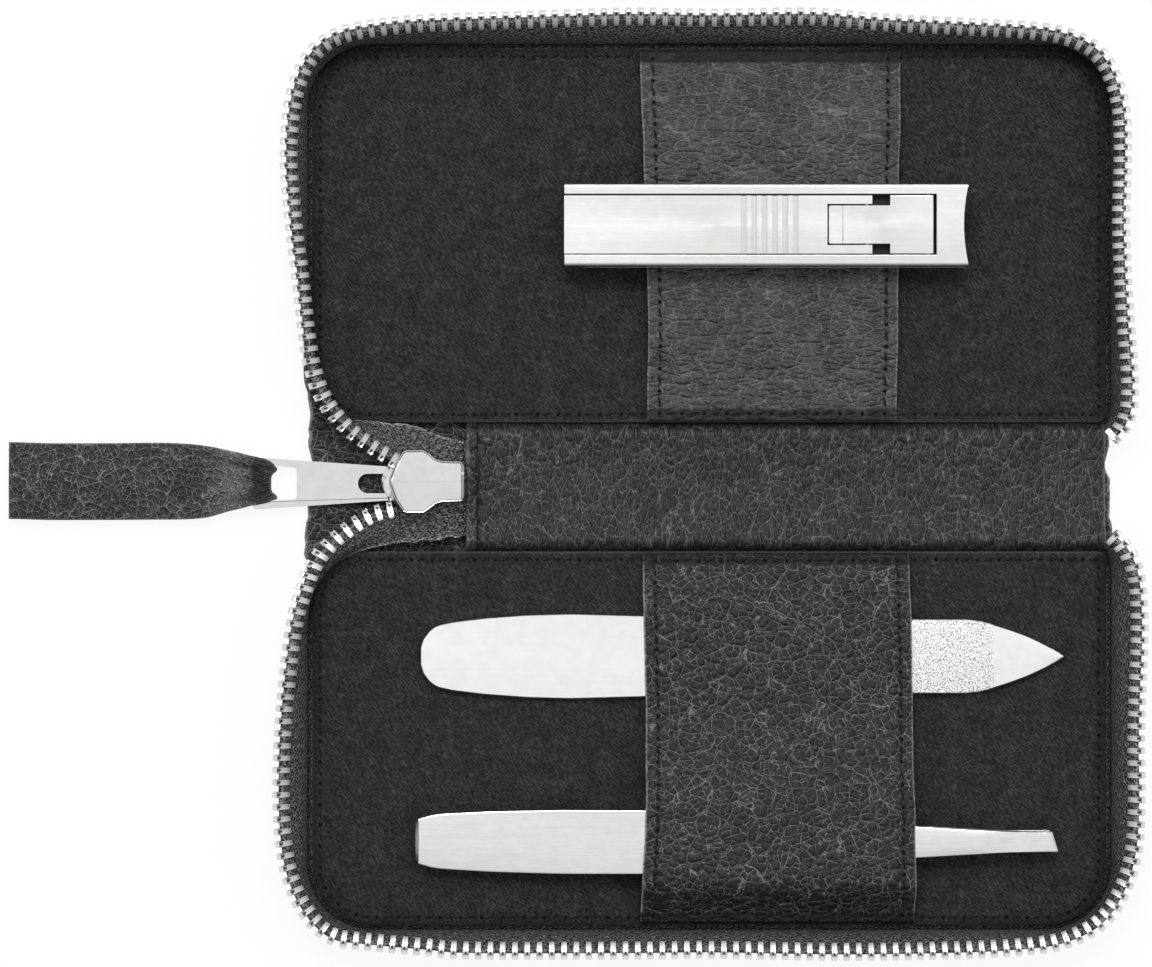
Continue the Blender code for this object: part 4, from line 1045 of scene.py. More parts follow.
@dataclass
class HoldingStrap:
    """A leather strap that is sewn down at both ends and arches over what it holds.

    Attributes:
        half: The half of the case.
        finish: Its leather.
        stops: Distance from the middle line and height of the strap's middle, from the fold outwards.
        left: Left edge at the fold, at a third, at two thirds and at the outer end.
        right: Right edge at the same places.
        thickness: Its thickness.
        seam: Distance of the side seams from the edges.
        hem: Distance of the seams from both ends.
        hem_band: Width of the darker band at both ends.
    """

    half: Half
    finish: GrainLeather
    stops: tuple[tuple[float, float], ...]
    left: tuple[float, ...]
    right: tuple[float, ...]
    thickness: float = 0.0009
    seam: float = 0.0018
    hem: float = 0.0011
    hem_band: float = 0.0019

    def line(self) -> tuple[Array, Array]:
        """Distance and height of the strap's middle: smooth steps between the stops, then a short average."""
        places, heights = np.array(self.stops).T
        y = np.linspace(places[0], places[-1], 600)
        index = np.clip(np.searchsorted(places, y, side="right") - 1, 0, len(places) - 2)
        share = ease((y - places[index]) / (places[index + 1] - places[index]))
        z = heights[index] + (heights[index + 1] - heights[index]) * share
        return y, averaged(z, 20)

    def edge(self, values: tuple[float, ...], y: Array) -> Array:
        """The X of a side edge at each distance, with a faint wander."""
        places = np.linspace(self.stops[0][0], self.stops[-1][0], len(values))
        return np.interp(y, places, values) + 0.00008 * soft_noise(y, y * 0.0, 0.004, int(abs(values[0]) * 1e5))

    def surface(self, share: Array, y: Array) -> tuple[Array, Array]:
        """X and middle height at a share of the width and a distance from the middle line."""
        line_y, line_z = self.line()
        left, right = self.edge(self.left, y), self.edge(self.right, y)
        x = left + (right - left) * share
        z = np.interp(y, line_y, line_z)
        rest = min(line_z[0], line_z[-1])
        near_edge = np.minimum(x - left, right - x)
        groove = bell(near_edge, self.seam, 0.0005) * 0.00012
        raised = z - rest
        droop = raised * 0.05 * (1 - ease(near_edge / 0.004))
        wrinkle = 0.00009 * soft_noise(x * 0.7, y * self.half.side, 0.0042, 41) * ease(raised / 0.0006)
        return x, z - groove - droop + wrinkle

    def build(self) -> None:
        """The strap and its stitches."""
        side = self.half.side
        line_y, line_z = self.line()
        run = arc_lengths(np.stack((line_y, line_z), axis=1))
        along = fine_at_ends(run[-1], 0.0004, 0.00035)
        y = np.interp(along, run, line_y)[:, None]
        width = self.right[0] - self.left[0]
        share = fine_at_ends(width, 0.0005, 0.0003)[None, :] / width
        x, z = self.surface(share, np.broadcast_to(y, (len(along), share.shape[1])))
        points = stacked(x, side * y, z)
        to_side = np.minimum(share, 1 - share) * width
        to_end = np.minimum(along, run[-1] - along)[:, None]
        away = np.minimum(to_side, to_end)
        flat_x = self.left[0] + share * width
        uv = stacked(flat_x, side * along[:, None])
        worn = ease(1.1 - to_side / 0.00028) * np.ones_like(x) * 0.95
        band = ease((along - run[-1] + self.hem_band) / 0.0003)[:, None] * 0.85
        # Painted shadow across the strap's end at the fold.
        fold_end_shadow = ease((self.hem_band - along) / 0.0003)[:, None] * 0.75
        # Painted shade along the side seams' grooves.
        seams = bell(to_side, self.seam, 0.00035) * 0.45
        shade = np.maximum(np.maximum(seams, band), fold_end_shadow)
        thick = rounded_edge(away, 0.0003, self.thickness)
        ply = slab(points, thick, uv, wear=worn, shade=shade)
        piece = ply.build(f"holding_strap_{self.half.value}", self.finish)
        self.half.bend(piece)
        settle(piece, self.finish, f"strap_{self.half.value}")
        sewn = self.sewing()
        self.half.bend(sewn)
        settle(sewn, THREAD)

    def sewing(self) -> bpy.types.Object:
        """The stitches of the side seams and of the seam at the fold, as one piece."""
        line_y, line_z = self.line()
        run = arc_lengths(np.stack((line_y, line_z), axis=1))
        width = self.right[0] - self.left[0]
        along = np.interp(np.linspace(self.hem, run[-1] - self.hem, 300), run, line_y)
        paths = []
        for share in (self.seam / width, 1 - self.seam / width):
            x, _ = self.surface(np.full_like(along, share), along)
            paths.append(np.stack((x, self.half.side * along), axis=1))
        across = np.linspace(self.seam / width, 1 - self.seam / width, 60)
        x, _ = self.surface(across, np.full_like(across, along[0]))
        paths.append(np.stack((x, np.full_like(x, self.half.side * along[0])), axis=1))

        def lift(x: Array, y: Array) -> Array:
            away = np.abs(y)
            left, right = self.edge(self.left, away), self.edge(self.right, away)
            _, z = self.surface((x - left) / (right - left), away)
            return z + self.thickness / 2

        rows = [stitches(path, lift, 0.0018) for path in paths]
        return joined(rows).build(f"strap_stitches_{self.half.value}", THREAD)


@dataclass
class ZipRow:
    """One half's zip: the woven tape that stands up round the half as its rim, and the metal teeth on it.

    Stations run from the slider along the free end, round the rim and to the right-hand end. Each
    has a tooth point, a lip and a gutter point of the tape, and the direction that its tooth points in.

    Attributes:
        half: The half of the case.
        line: Stops of the tooth line in millimetres, x and distance from the middle line, from the slider on.
        lip: Stops of the free end's selvedge in millimetres.
        rim_start: Distance from the middle line at which the free end becomes the rim.
        top: Height of the tooth line on the rim.
        low: Height of the tooth line at the slider.
        pitch: Distance from one tooth to the next.
        stance: Elevation of the teeth on the rim.
        cloth: Thickness of the tape.
        bead: Thickness of the cord along the tape's edge.
        foot_left: X of the rim's foot on the left.
        foot_right: X of the rim's foot on the right.
        foot_outer: Distance of the rim's foot from the middle line.
        foot_corner: Radius of the foot's corners.
        step: Distance between two stations.
        last_tooth: Distance of the last tooth from the right-hand end.
        tape_width: Width of the flat tape.
        strand_bend: Distances from the middle line that are passed to the half's bend, which does not use them.
    """

    half: Half
    line: tuple[tuple[float, float], ...]
    lip: tuple[tuple[float, float], ...]
    rim_start: float = 0.0216
    top: float = 0.0090
    low: float = 0.0057
    pitch: float = 0.0018
    stance: float = math.radians(36)
    cloth: float = 0.0005
    bead: float = 0.0010
    foot_left: float = -0.0602
    foot_right: float = 0.0595
    foot_outer: float = 0.06595
    foot_corner: float = 0.0099
    step: float = 0.00042
    last_tooth: float = 0.0004
    tape_width: float = 0.0105
    strand_bend: tuple[float, float] = (0.0040, 0.0205)

    def feet(self, tooth: Array, split: int) -> Array:
        """The foot of the tape below each tooth point.

        On the rim it is the nearest point of a rounded rectangle, core point + r unit(tooth - core point).

        Args:
            tooth: The tooth line, x and distance from the middle line.
            split: Number of stations on the free end.

        Returns:
            Points of x and distance from the middle line.
        """
        r = self.foot_corner
        core = tooth.copy()
        core[:, 0] = np.clip(core[:, 0], self.foot_left + r, self.foot_right - r)
        core[:, 1] = np.minimum(core[:, 1], self.foot_outer - r)
        foot = core + r * unit(tooth - core)
        free = through([(x * MM, y * MM) for x, y in self.lip] + [tuple(foot[split])], 12)
        shares = np.linspace(0.0, arc_lengths(free)[-1], split + 1)
        foot[: split + 1] = resampled(free, shares)
        curl = np.flatnonzero((tooth[:, 1] < 0.0135) & (tooth[:, 0] > 0))
        bend = through(((0.0595, 0.0135), (0.0594, 0.0112), (0.0589, 0.0096), (0.0582, 0.0088)), 8)
        foot[curl] = resampled(bend, np.linspace(0.0, arc_lengths(bend)[-1], len(curl)))
        return foot

    def stations(self) -> tuple[dict[str, Array], int]:
        """All stations in the frame of the upper half, one row each, and how many are on the free end."""
        curve = through([(x * MM, y * MM) for x, y in self.line], 14)
        length = arc_lengths(curve)[-1]
        tooth = resampled(curve, np.linspace(0.0, length, int(length / self.step)))
        split = int(np.argmax(tooth[:, 1] >= self.rim_start))
        foot = self.feet(tooth, split)
        along = np.gradient(tooth, axis=0)
        out = unit(np.stack((-along[:, 1], along[:, 0]), axis=1))
        foot_along = np.gradient(foot, axis=0)
        foot_out = unit(np.stack((-foot_along[:, 1], foot_along[:, 0]), axis=1))
        run = arc_lengths(tooth)
        start = run[split]
        free = 1.0 - ease(run / start)
        stop = ease((run - run[-1] + 0.006) / 0.006)
        height = self.top + (self.low - self.top) * ease((start - run) / start * 1.05) - 0.0012 * stop
        rise = self.stance * (1 - ease((start - run) / start * 1.15)) * (1 - 0.35 * stop)
        rows = {
            "tooth": np.column_stack((tooth, height)),
            "foot": foot,
            "out": out,
            "foot_out": foot_out,
            "run": run,
            "free": free,
            "rise": rise,
        }
        return rows, split

    def axis(self, rows: dict[str, Array]) -> Array:
        """The direction in which the teeth point: outwards, and up by their elevation."""
        level = rows["out"] * np.cos(rows["rise"])[:, None]
        return np.column_stack((level, np.sin(rows["rise"])))

    def tape(self, rows: dict[str, Array]) -> Draft:
        """The tape: from its lip under the lining through a gutter, and up a Bezier curve to the teeth.

        Args:
            rows: The stations that the tape covers.

        Returns:
            The closed tape.
        """
        tooth, foot, out, free = rows["tooth"], rows["foot"], rows["foot_out"], rows["free"]
        loose = free[:, None]
        axis = self.axis(rows)
        held = 1.0 - ease(free / 0.25)
        lip = np.column_stack((foot - out * (0.0013 * held)[:, None], 0.00222 + 0.0016 * ease((free - 0.45) / 0.4)))
        gutter_z = 0.0014 + 0.0009 * ease(free / 0.3) + 0.0016 * ease((free - 0.45) / 0.4)
        gutter = np.column_stack((foot + out * 0.0001, gutter_z))
        up = np.array((0.0, 0.0, 1.0))
        to_tooth = tooth - gutter
        rise = up * 0.0046 * (1 - loose) + to_tooth * 0.33 * loose
        reach = 0.0022 + 0.0004 * loose
        t = np.concatenate((np.linspace(0, 0.8, 12), (0.86, 0.91, 0.95, 0.98, 0.995, 1.0)))[None, :, None]
        start, end = gutter[:, None], (tooth + axis * 0.0001)[:, None]
        first, second = (gutter + rise)[:, None], (tooth - axis * reach)[:, None]
        wall = start * (1 - t) ** 3 + 3 * first * t * (1 - t) ** 2 + 3 * second * t**2 * (1 - t) + end * t**3
        edge = np.stack((lip, lip * 0.6 + gutter * 0.4 + up * 0.00012 * held[:, None]), axis=1)
        surface = np.concatenate((edge, wall), axis=1)
        surface[..., 1] *= self.half.side
        across = np.cumsum(np.linalg.norm(np.diff(surface, axis=1, prepend=surface[:, :1]), axis=2), axis=1)
        to_edge = across[:, -1:] - across
        thick = self.cloth + (self.bead - self.cloth) * ease((0.0014 - to_edge) / 0.0004)
        thick *= np.sqrt(np.maximum(1 - (1 - np.clip(to_edge / 0.00045, 0, 1)) ** 2, 0.0))
        thick *= 0.36 + 0.64 * ease(across / 0.0022)
        thick *= np.where(rows["run"][-1] - rows["run"] < 1e-9, 0.35, 1.0)[:, None]
        uv = stacked(rows["run"][:, None], to_edge)
        # Painted shadow in the gutter between the lining's edge and the tape's wall.
        gap = bell(across, 0.0013, 0.0006) * (1 - loose) * 0.9
        frayed = ease((0.0005 - across) / 0.0003) * loose * 0.9 * ease((loose - 0.3) / 0.2)
        rim_edge = ease((0.0006 - to_edge) / 0.0003) * 0.25
        return slab(surface, thick, uv, shade=gap, wear=np.maximum(frayed, rim_edge))

    def teeth(self, rows: dict[str, Array], places: Array) -> Draft:
        """The teeth: copies of one pressed tooth, P = tooth point + u axis + v along + w normal.

        Args:
            rows: The stations.
            places: Distance of each tooth along the zip.

        Returns:
            The teeth.
        """
        tooth, axis, run = rows["tooth"], self.axis(rows), rows["run"]
        centre = np.stack([np.interp(places, run, tooth[:, k]) for k in range(3)], axis=1)
        ahead = unit(np.stack([np.interp(places, run, np.gradient(tooth[:, k])) for k in range(3)], axis=1))
        point = unit(np.stack([np.interp(places, run, axis[:, k]) for k in range(3)], axis=1))
        normal = unit(np.cross(ahead, point))
        normal *= np.sign(normal[:, 2:3])
        turn = np.stack((point, ahead, normal), axis=1)
        form, marks = pressed_tooth()
        points = centre[:, None, None] + np.einsum("rck,nkx->nrcx", form, turn).reshape(len(places), *form.shape)
        points[..., 1] *= self.half.side
        return joined(tube(one, shade=marks) for one in points)

    def build(self) -> None:
        """The rim and the free strand of the zip."""
        rows, split = self.stations()
        run = rows["run"]
        count = int((run[-1] - self.last_tooth) / self.pitch) + 1
        places = run[-1] - self.last_tooth - self.pitch * np.arange(count)[::-1]
        for label, part, chosen in (
            ("rim", slice(split, None), places[places > run[split]]),
            ("free_end", slice(0, split + 1), places[places <= run[split]]),
        ):
            span = {key: value[part] for key, value in rows.items()}
            cloth = self.tape(span).finished(0)
            teeth = self.teeth(rows, chosen).finished(1)
            piece = joined((cloth, teeth)).build(f"zip_{label}_{self.half.value}", TAPE, NICKEL, sharp=35.0)
            if label == "rim":
                self.half.bend(piece)
                nodes = ("zip_tape_", "zip_teeth_", "zip_stop_")
            else:
                self.half.bend(piece, *self.strand_bend)
                nodes = ("zip_strand_",)
            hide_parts(*(node + self.half.value for node in nodes))
            LOG.info("%s: %d teeth", piece.name, len(chosen))


def pressed_tooth() -> tuple[Array, Array]:
    """One pressed tooth as rings along its axis: a foot darkened by painted shade, a body with a dimple on each face
    darkened by painted shade, a blunt head.

    Returns:
        The rings, in the order axis, along, normal, and the shade of their points.
    """
    stations = np.array(
        (
            (-1.66, 0.36, 0.50, 0.0),
            (-1.40, 0.48, 0.72, 0.0),
            (0.02, 0.51, 0.60, 0.02),
            (0.24, 0.51, 0.59, 0.15),
            (0.60, 0.51, 0.56, 0.15),
            (0.84, 0.50, 0.54, 0.0),
            (1.08, 0.40, 0.40, 0.0),
        )
    )
    side = np.array(((-1.0, 0.5), (-0.78, 1.0), (0.0, 1.0), (0.78, 1.0), (1.0, 0.5)))
    corners = np.concatenate((side, side[::-1] * np.array((1.0, -1.0))))
    place, wide, high, dimple = stations.T
    middle = (np.arange(10) % 5 == 2).astype(float)
    u = place[:, None] - np.where(np.arange(7)[:, None] == 6, 0.1, 0.0) * middle
    v = wide[:, None] * corners[None, :, 0]
    w = (high[:, None] - dimple[:, None] * middle) * corners[None, :, 1]
    # Painted shade in each dimple, and on the foot.
    shade = np.clip(dimple[:, None] * 8.0, 0, 1) * middle + np.where(place < -1.1, 0.62, 0.0)[:, None]
    return np.stack((u, v, w), axis=2) * MM, shade


@dataclass
class TapeEnd:
    """The closed end of the zip on the spine: both tapes, sewn under the spine's leather, and the last teeth.

    Attributes:
        left: X at which the strands join it.
        right: X of its end under the leather.
        centre: Y of the chain.
        top: Height at the chain.
        low: Height at its end.
        pitch: Distance from one tooth to the next on the same tape.
        teeth_end: X up to which teeth are set.
        flat_width: Width of both flat tapes together.
    """

    left: float = -0.0469
    right: float = -0.0352
    centre: float = 0.0008
    top: float = 0.0056
    low: float = 0.0023
    pitch: float = 0.0018
    teeth_end: float = -0.0400
    flat_width: float = 0.0165

    def build(self) -> None:
        """The tape and the interlocked teeth."""
        x = self.left + fine_at_ends(self.right - self.left, 0.0004, 0.0002)[:, None]
        share = (x - self.left) / (self.right - self.left)
        high = 0.0094 - 0.0029 * ease(share) + 0.00015 * soft_noise(x, x * 0, 0.0016, 52)
        low = -0.0083 + 0.0010 * ease(share) + 0.0002 * soft_noise(x, x * 0, 0.0013, 53)
        across = fine_at_ends(1.0, 0.02, 0.02)[None, :]
        y = low + (high - low) * across
        from_chain = np.abs(y - self.centre)
        fall = ease((from_chain - 0.001) / 0.0075)
        sink = ease((x + 0.0400) / 0.0044)
        z = (self.top * (1 - 0.33 * fall)) * (1 - sink) + (self.low + 0.0001) * sink
        z = z + 0.00018 * soft_noise(x + 0 * y, y, 0.0022, 51) * (1 - sink)
        points = stacked(x, y, z)
        edge = np.minimum(y - low, high - y)
        thick = rounded_edge(edge, 0.0002, 0.0005)
        uv = stacked(x, from_chain)
        frayed = ease(1.2 - edge / 0.0004) * 0.9
        # Painted shadow on the tape where it runs under the spine leather's hem.
        hem = ease((x + 0.0372) / 0.0016) * 0.95 * np.ones_like(y)
        cloth = slab(points, thick, uv, wear=frayed * (1 - hem), shade=hem).finished(0)
        form, marks = pressed_tooth()
        rings = []
        for side in Half:
            start = self.left + (0.0009 if side is Half.UPPER else 0.0018)
            for place in np.arange(start, self.teeth_end, self.pitch):
                turned = form[..., [1, 0, 2]] * np.array((1.0, -side.side, 1.0))
                rings.append(turned + np.array((place, self.centre + side.side * 0.0006, self.top + 0.00005)))
        teeth = joined(tube(ring, shade=marks) for ring in rings).finished(1)
        piece = joined((cloth, teeth)).build("zip_closed_end", TAPE, NICKEL, sharp=35.0)
        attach(piece, "spine")
        settle(piece, TAPE, "zip_tape_end")


def mirrored_loop(x: Array, half: Array, axis_y: float) -> Array:
    """A closed outline that is the same on both sides of an axis along X.

    Args:
        x: X from one end to the other.
        half: Half the width at each x.
        axis_y: Y of the axis.

    Returns:
        The outline, first one side and then the other side backwards.
    """
    one = np.stack((x, axis_y + half), axis=1)
    other = np.stack((x, axis_y - half), axis=1)[::-1]
    return np.concatenate((one, other))


LOWER_FACE_SHARES = (0.0, 0.4, 0.8)
UPPER_FACE_SHARES = (0.9, 0.7, 0.45, 0.2, 0.02, 0.0)


def layered(
    outline: Array, axis_y: float, steps: Sequence[tuple[float, float]], crown: float = 0.0, axis_groove_shade: float = 0.0
) -> Draft:
    """A flat body with shaped edges: one ring for each step, and both faces closed along the axis.

    Ring k is the outline moved inwards by inset k at height k. On the faces, the width shrinks by f from
    1 to 0 and the height gains crown (1 - f^2).

    Args:
        outline: The mirrored outline.
        axis_y: Y of the axis.
        steps: Inset and height of each ring, from the lower face to the upper one.
        crown: How far the upper face swells.
        axis_groove_shade: Darkness of a fine line along the axis.

    Returns:
        The closed body.
    """
    ahead = np.roll(outline, -1, axis=0) - np.roll(outline, 1, axis=0)
    inward = unit(np.stack((ahead[:, 1], -ahead[:, 0]), axis=1))
    (first, low), (last, high) = steps[0], steps[-1]
    rings = [(first, share, low) for share in LOWER_FACE_SHARES]
    rings += [(inset, 1.0, height) for inset, height in steps]
    rings += [(last, share, high + crown * (1 - share**2)) for share in UPPER_FACE_SHARES]
    inset, share, height = (np.array(column)[:, None] for column in zip(*rings))
    x = outline[None, :, 0] + inward[None, :, 0] * inset
    y = axis_y + (outline[None, :, 1] + inward[None, :, 1] * inset - axis_y) * share
    points = stacked(x, y, height)
    wrapped = np.concatenate((points, points[:, :1]), axis=1)
    shade = np.zeros(x.shape)
    # Painted shade of a shallow groove along the axis.
    shade[-1] = axis_groove_shade
    return grid(points, wrapped[..., :2], wrap=True, shade=shade)


def table(shares: Sequence[tuple[float, float]], count: int, soften: int) -> tuple[Array, Array]:
    """A profile from a table of shares, with its corners softened by a running mean.

    Args:
        shares: Place and value.
        count: Number of places.
        soften: Half the width of the running mean.

    Returns:
        The places and their values.
    """
    place, value = np.array(shares).T
    even = np.linspace(0.0, 1.0, count)
    level = np.interp(even, place, value)
    keep = ease(np.minimum(even, 1 - even) / 0.02)
    return even, level * (1 - keep) + averaged(level, soften) * keep


def refined(
    node: str,
    name: str,
    finish: Finish,
    width: float,
    cuts: Sequence[tuple[tuple[float, float], tuple[float, float], float, float]] = (),
    soft: float = 0.0,
) -> bpy.types.Object:
    """A machined piece: its CAD solid welded and cleaned, with all its edges rounded.

    Args:
        node: The CAD node.
        name: Name of the piece.
        finish: Its finish.
        width: Width of the rounding.
        cuts: Steps in the upper face: point and direction of an upright plane, behind which all above a height
            is lowered by a depth.
        soft: Width of the rounding along the outer edges of the upper face.

    Returns:
        The piece.
    """
    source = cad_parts[node]
    work = bmesh.new()
    work.from_mesh(source.data)
    bmesh.ops.remove_doubles(work, verts=work.verts, dist=CAD_WELD)
    bmesh.ops.dissolve_limit(work, angle_limit=PLATE_FLAT_ANGLE, verts=work.verts, edges=work.edges)
    for (x, y), (nx, ny), height, depth in cuts:
        for gap in (0.0, 0.0001):
            everything = work.verts[:] + work.edges[:] + work.faces[:]
            point = (x + nx * gap, y + ny * gap, 0.0)
            bmesh.ops.bisect_plane(work, geom=everything, plane_co=point, plane_no=(nx, ny, 0.0))
        for vert in work.verts:
            behind = (vert.co.x - x) * nx + (vert.co.y - y) * ny <= 1e-6
            if behind and vert.co.z > height:
                vert.co.z -= depth
    if soft:
        top = max(vert.co.z for vert in work.verts) - 1e-5
        sides = [pick(vert.co.y for vert in work.verts) for pick in (min, max)]
        rails = [
            edge
            for edge in work.edges
            if edge.calc_length() > RAIL_LENGTH
            and all(vert.co.z > top and min(abs(vert.co.y - y) for y in sides) < 2e-5 for vert in edge.verts)
        ]
        bmesh.ops.bevel(work, geom=rails, offset=soft, segments=5, profile=0.5, affect="EDGES")
    bmesh.ops.recalc_face_normals(work, faces=work.faces)
    mesh = bpy.data.meshes.new(name)
    work.to_mesh(mesh)
    work.free()
    mesh.set_sharp_from_angle(angle=PLATE_SHARP_ANGLE)
    level = np.empty(len(mesh.polygons) * 3, np.float32)
    mesh.polygons.foreach_get("normal", level)
    mesh.polygons.foreach_set("use_smooth", np.abs(level[2::3]) < 0.98)
    mesh.materials.append(finish.material())
    piece = placed(name, mesh)
    edge = piece.modifiers.new("rounded edges", "BEVEL")
    edge.width = width
    edge.segments = 2
    edge.limit_method = "ANGLE"
    edge.angle_limit = ROUNDED_ANGLE
    settle(piece, finish, node)
    return piece


@dataclass
class Slider:
    """The zip slider, seen from its back plate: two shield plates, a wedge post and the pull's bridge.

    Attributes:
        tail: X of its tail.
        length: Its length.
        width: Its width.
        centre: Y of its axis.
        back: Height of the underside of the back plate.
        front: Height of the underside of the front plate.
        plate: Thickness of a plate.
        outline: Place and half width from nose to tail, as shares of the length and the width.
    """

    tail: float = -0.0367
    length: float = 0.0109
    width: float = 0.00925
    centre: float = 0.0008
    back: float = 0.0072
    front: float = 0.0035
    plate: float = 0.0007
    outline: tuple[tuple[float, float], ...] = (
        (0.0, 0.06), (0.03, 0.15), (0.08, 0.29), (0.19, 0.482), (0.24, 0.5), (0.46, 0.5), (0.55, 0.43),
        (0.63, 0.355), (0.7, 0.328), (0.975, 0.315), (1.0, 0.25),
    )

    def shield(self, length: float, width: float, bottom: float, crown: float) -> Draft:
        """One plate: the mirrored shield outline, with a fine lip and a groove round its upper face.

        Args:
            length: Share of the slider's length.
            width: Share of the slider's width.
            bottom: Height of its underside.
            crown: Swell of its upper face.

        Returns:
            The plate.
        """
        place, half = table(self.outline, 100, 1)
        x = self.tail - self.length * (1 - place) * length
        loop = mirrored_loop(x, half * self.width * width, self.centre)
        t = self.plate
        steps = (
            (0.00016, bottom),
            (0.00004, bottom + 0.00006),
            (0.0, bottom + 0.00016),
            (0.0, bottom + t * 0.5),
            (0.00004, bottom + t * 0.66),
            (0.00011, bottom + t * 0.72),
            (0.00017, bottom + t * 0.7),
            (0.00022, bottom + t * 0.45),
            (0.00028, bottom + t * 0.8),
            (0.00031, bottom + t * 0.84),
        )
        return layered(loop, self.centre, steps, crown, axis_groove_shade=0.55)

    def round_post(self, x: float, y: float, radius: float, low: float, high: float) -> Draft:
        """An upright round post between two heights."""
        angle = np.arange(24) * math.pi / 12
        level = np.array((low, low + 0.0001, high - 0.0001, high))
        return tube(stacked(x + radius * np.cos(angle), y + radius * np.sin(angle), level[:, None]))

    def bridge(self) -> Draft:
        """The bridge that holds the pull: a flat wire carried along a flattened arch under the front plate."""
        t = np.linspace(0.0, math.pi, 40)
        middle, reach, depth = -0.0446, 0.00205, 0.0019
        x = middle + 0.0003 + reach * np.sign(np.cos(t)) * np.abs(np.cos(t)) ** 0.55
        z = self.front + 0.0002 - depth * np.sin(t) ** 0.55
        path = np.stack((x, z), axis=1)
        ahead = unit(np.gradient(path, axis=0))
        normal = np.stack((-ahead[:, 1], ahead[:, 0]), axis=1)
        angle = np.arange(16) * math.pi / 8
        wide, high = 0.0009, 0.00028
        across = wide * np.sign(np.cos(angle)) * np.abs(np.cos(angle)) ** 0.6
        lift = high * np.sign(np.sin(angle)) * np.abs(np.sin(angle)) ** 0.6
        side = normal[:, :, None] * lift
        return tube(stacked(x[:, None] + side[:, 0], self.centre + across, z[:, None] + side[:, 1]))

    def build(self) -> None:
        """The slider as one body."""
        back = self.shield(1.0, 1.0, self.back, 0.00016)
        front = self.shield(1.125, 0.98, self.front, 0.0)
        front.points[:, 2] = 2 * self.front + self.plate - front.points[:, 2]
        # Painted mottled shade on the lower front plate.
        dull = soft_noise(front.points[:, 0], front.points[:, 1], 0.00055, 71)
        front.marks["shade"] = np.clip(0.3 + 0.7 * dull, 0.0, 0.85)
        post = self.round_post(-0.0459, self.centre, 0.0007, self.front + 0.0003, self.back + 0.0003)
        pin = self.round_post(self.tail - 0.0001, self.centre + 0.0012, 0.00022, self.back + 0.0001, self.back + 0.0006)
        piece = joined((back, front, post, pin, self.bridge())).build("zip_slider", POLISHED, sharp=28.0)
        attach(piece, "zip_slider")
        settle(piece, POLISHED, "slider_body")


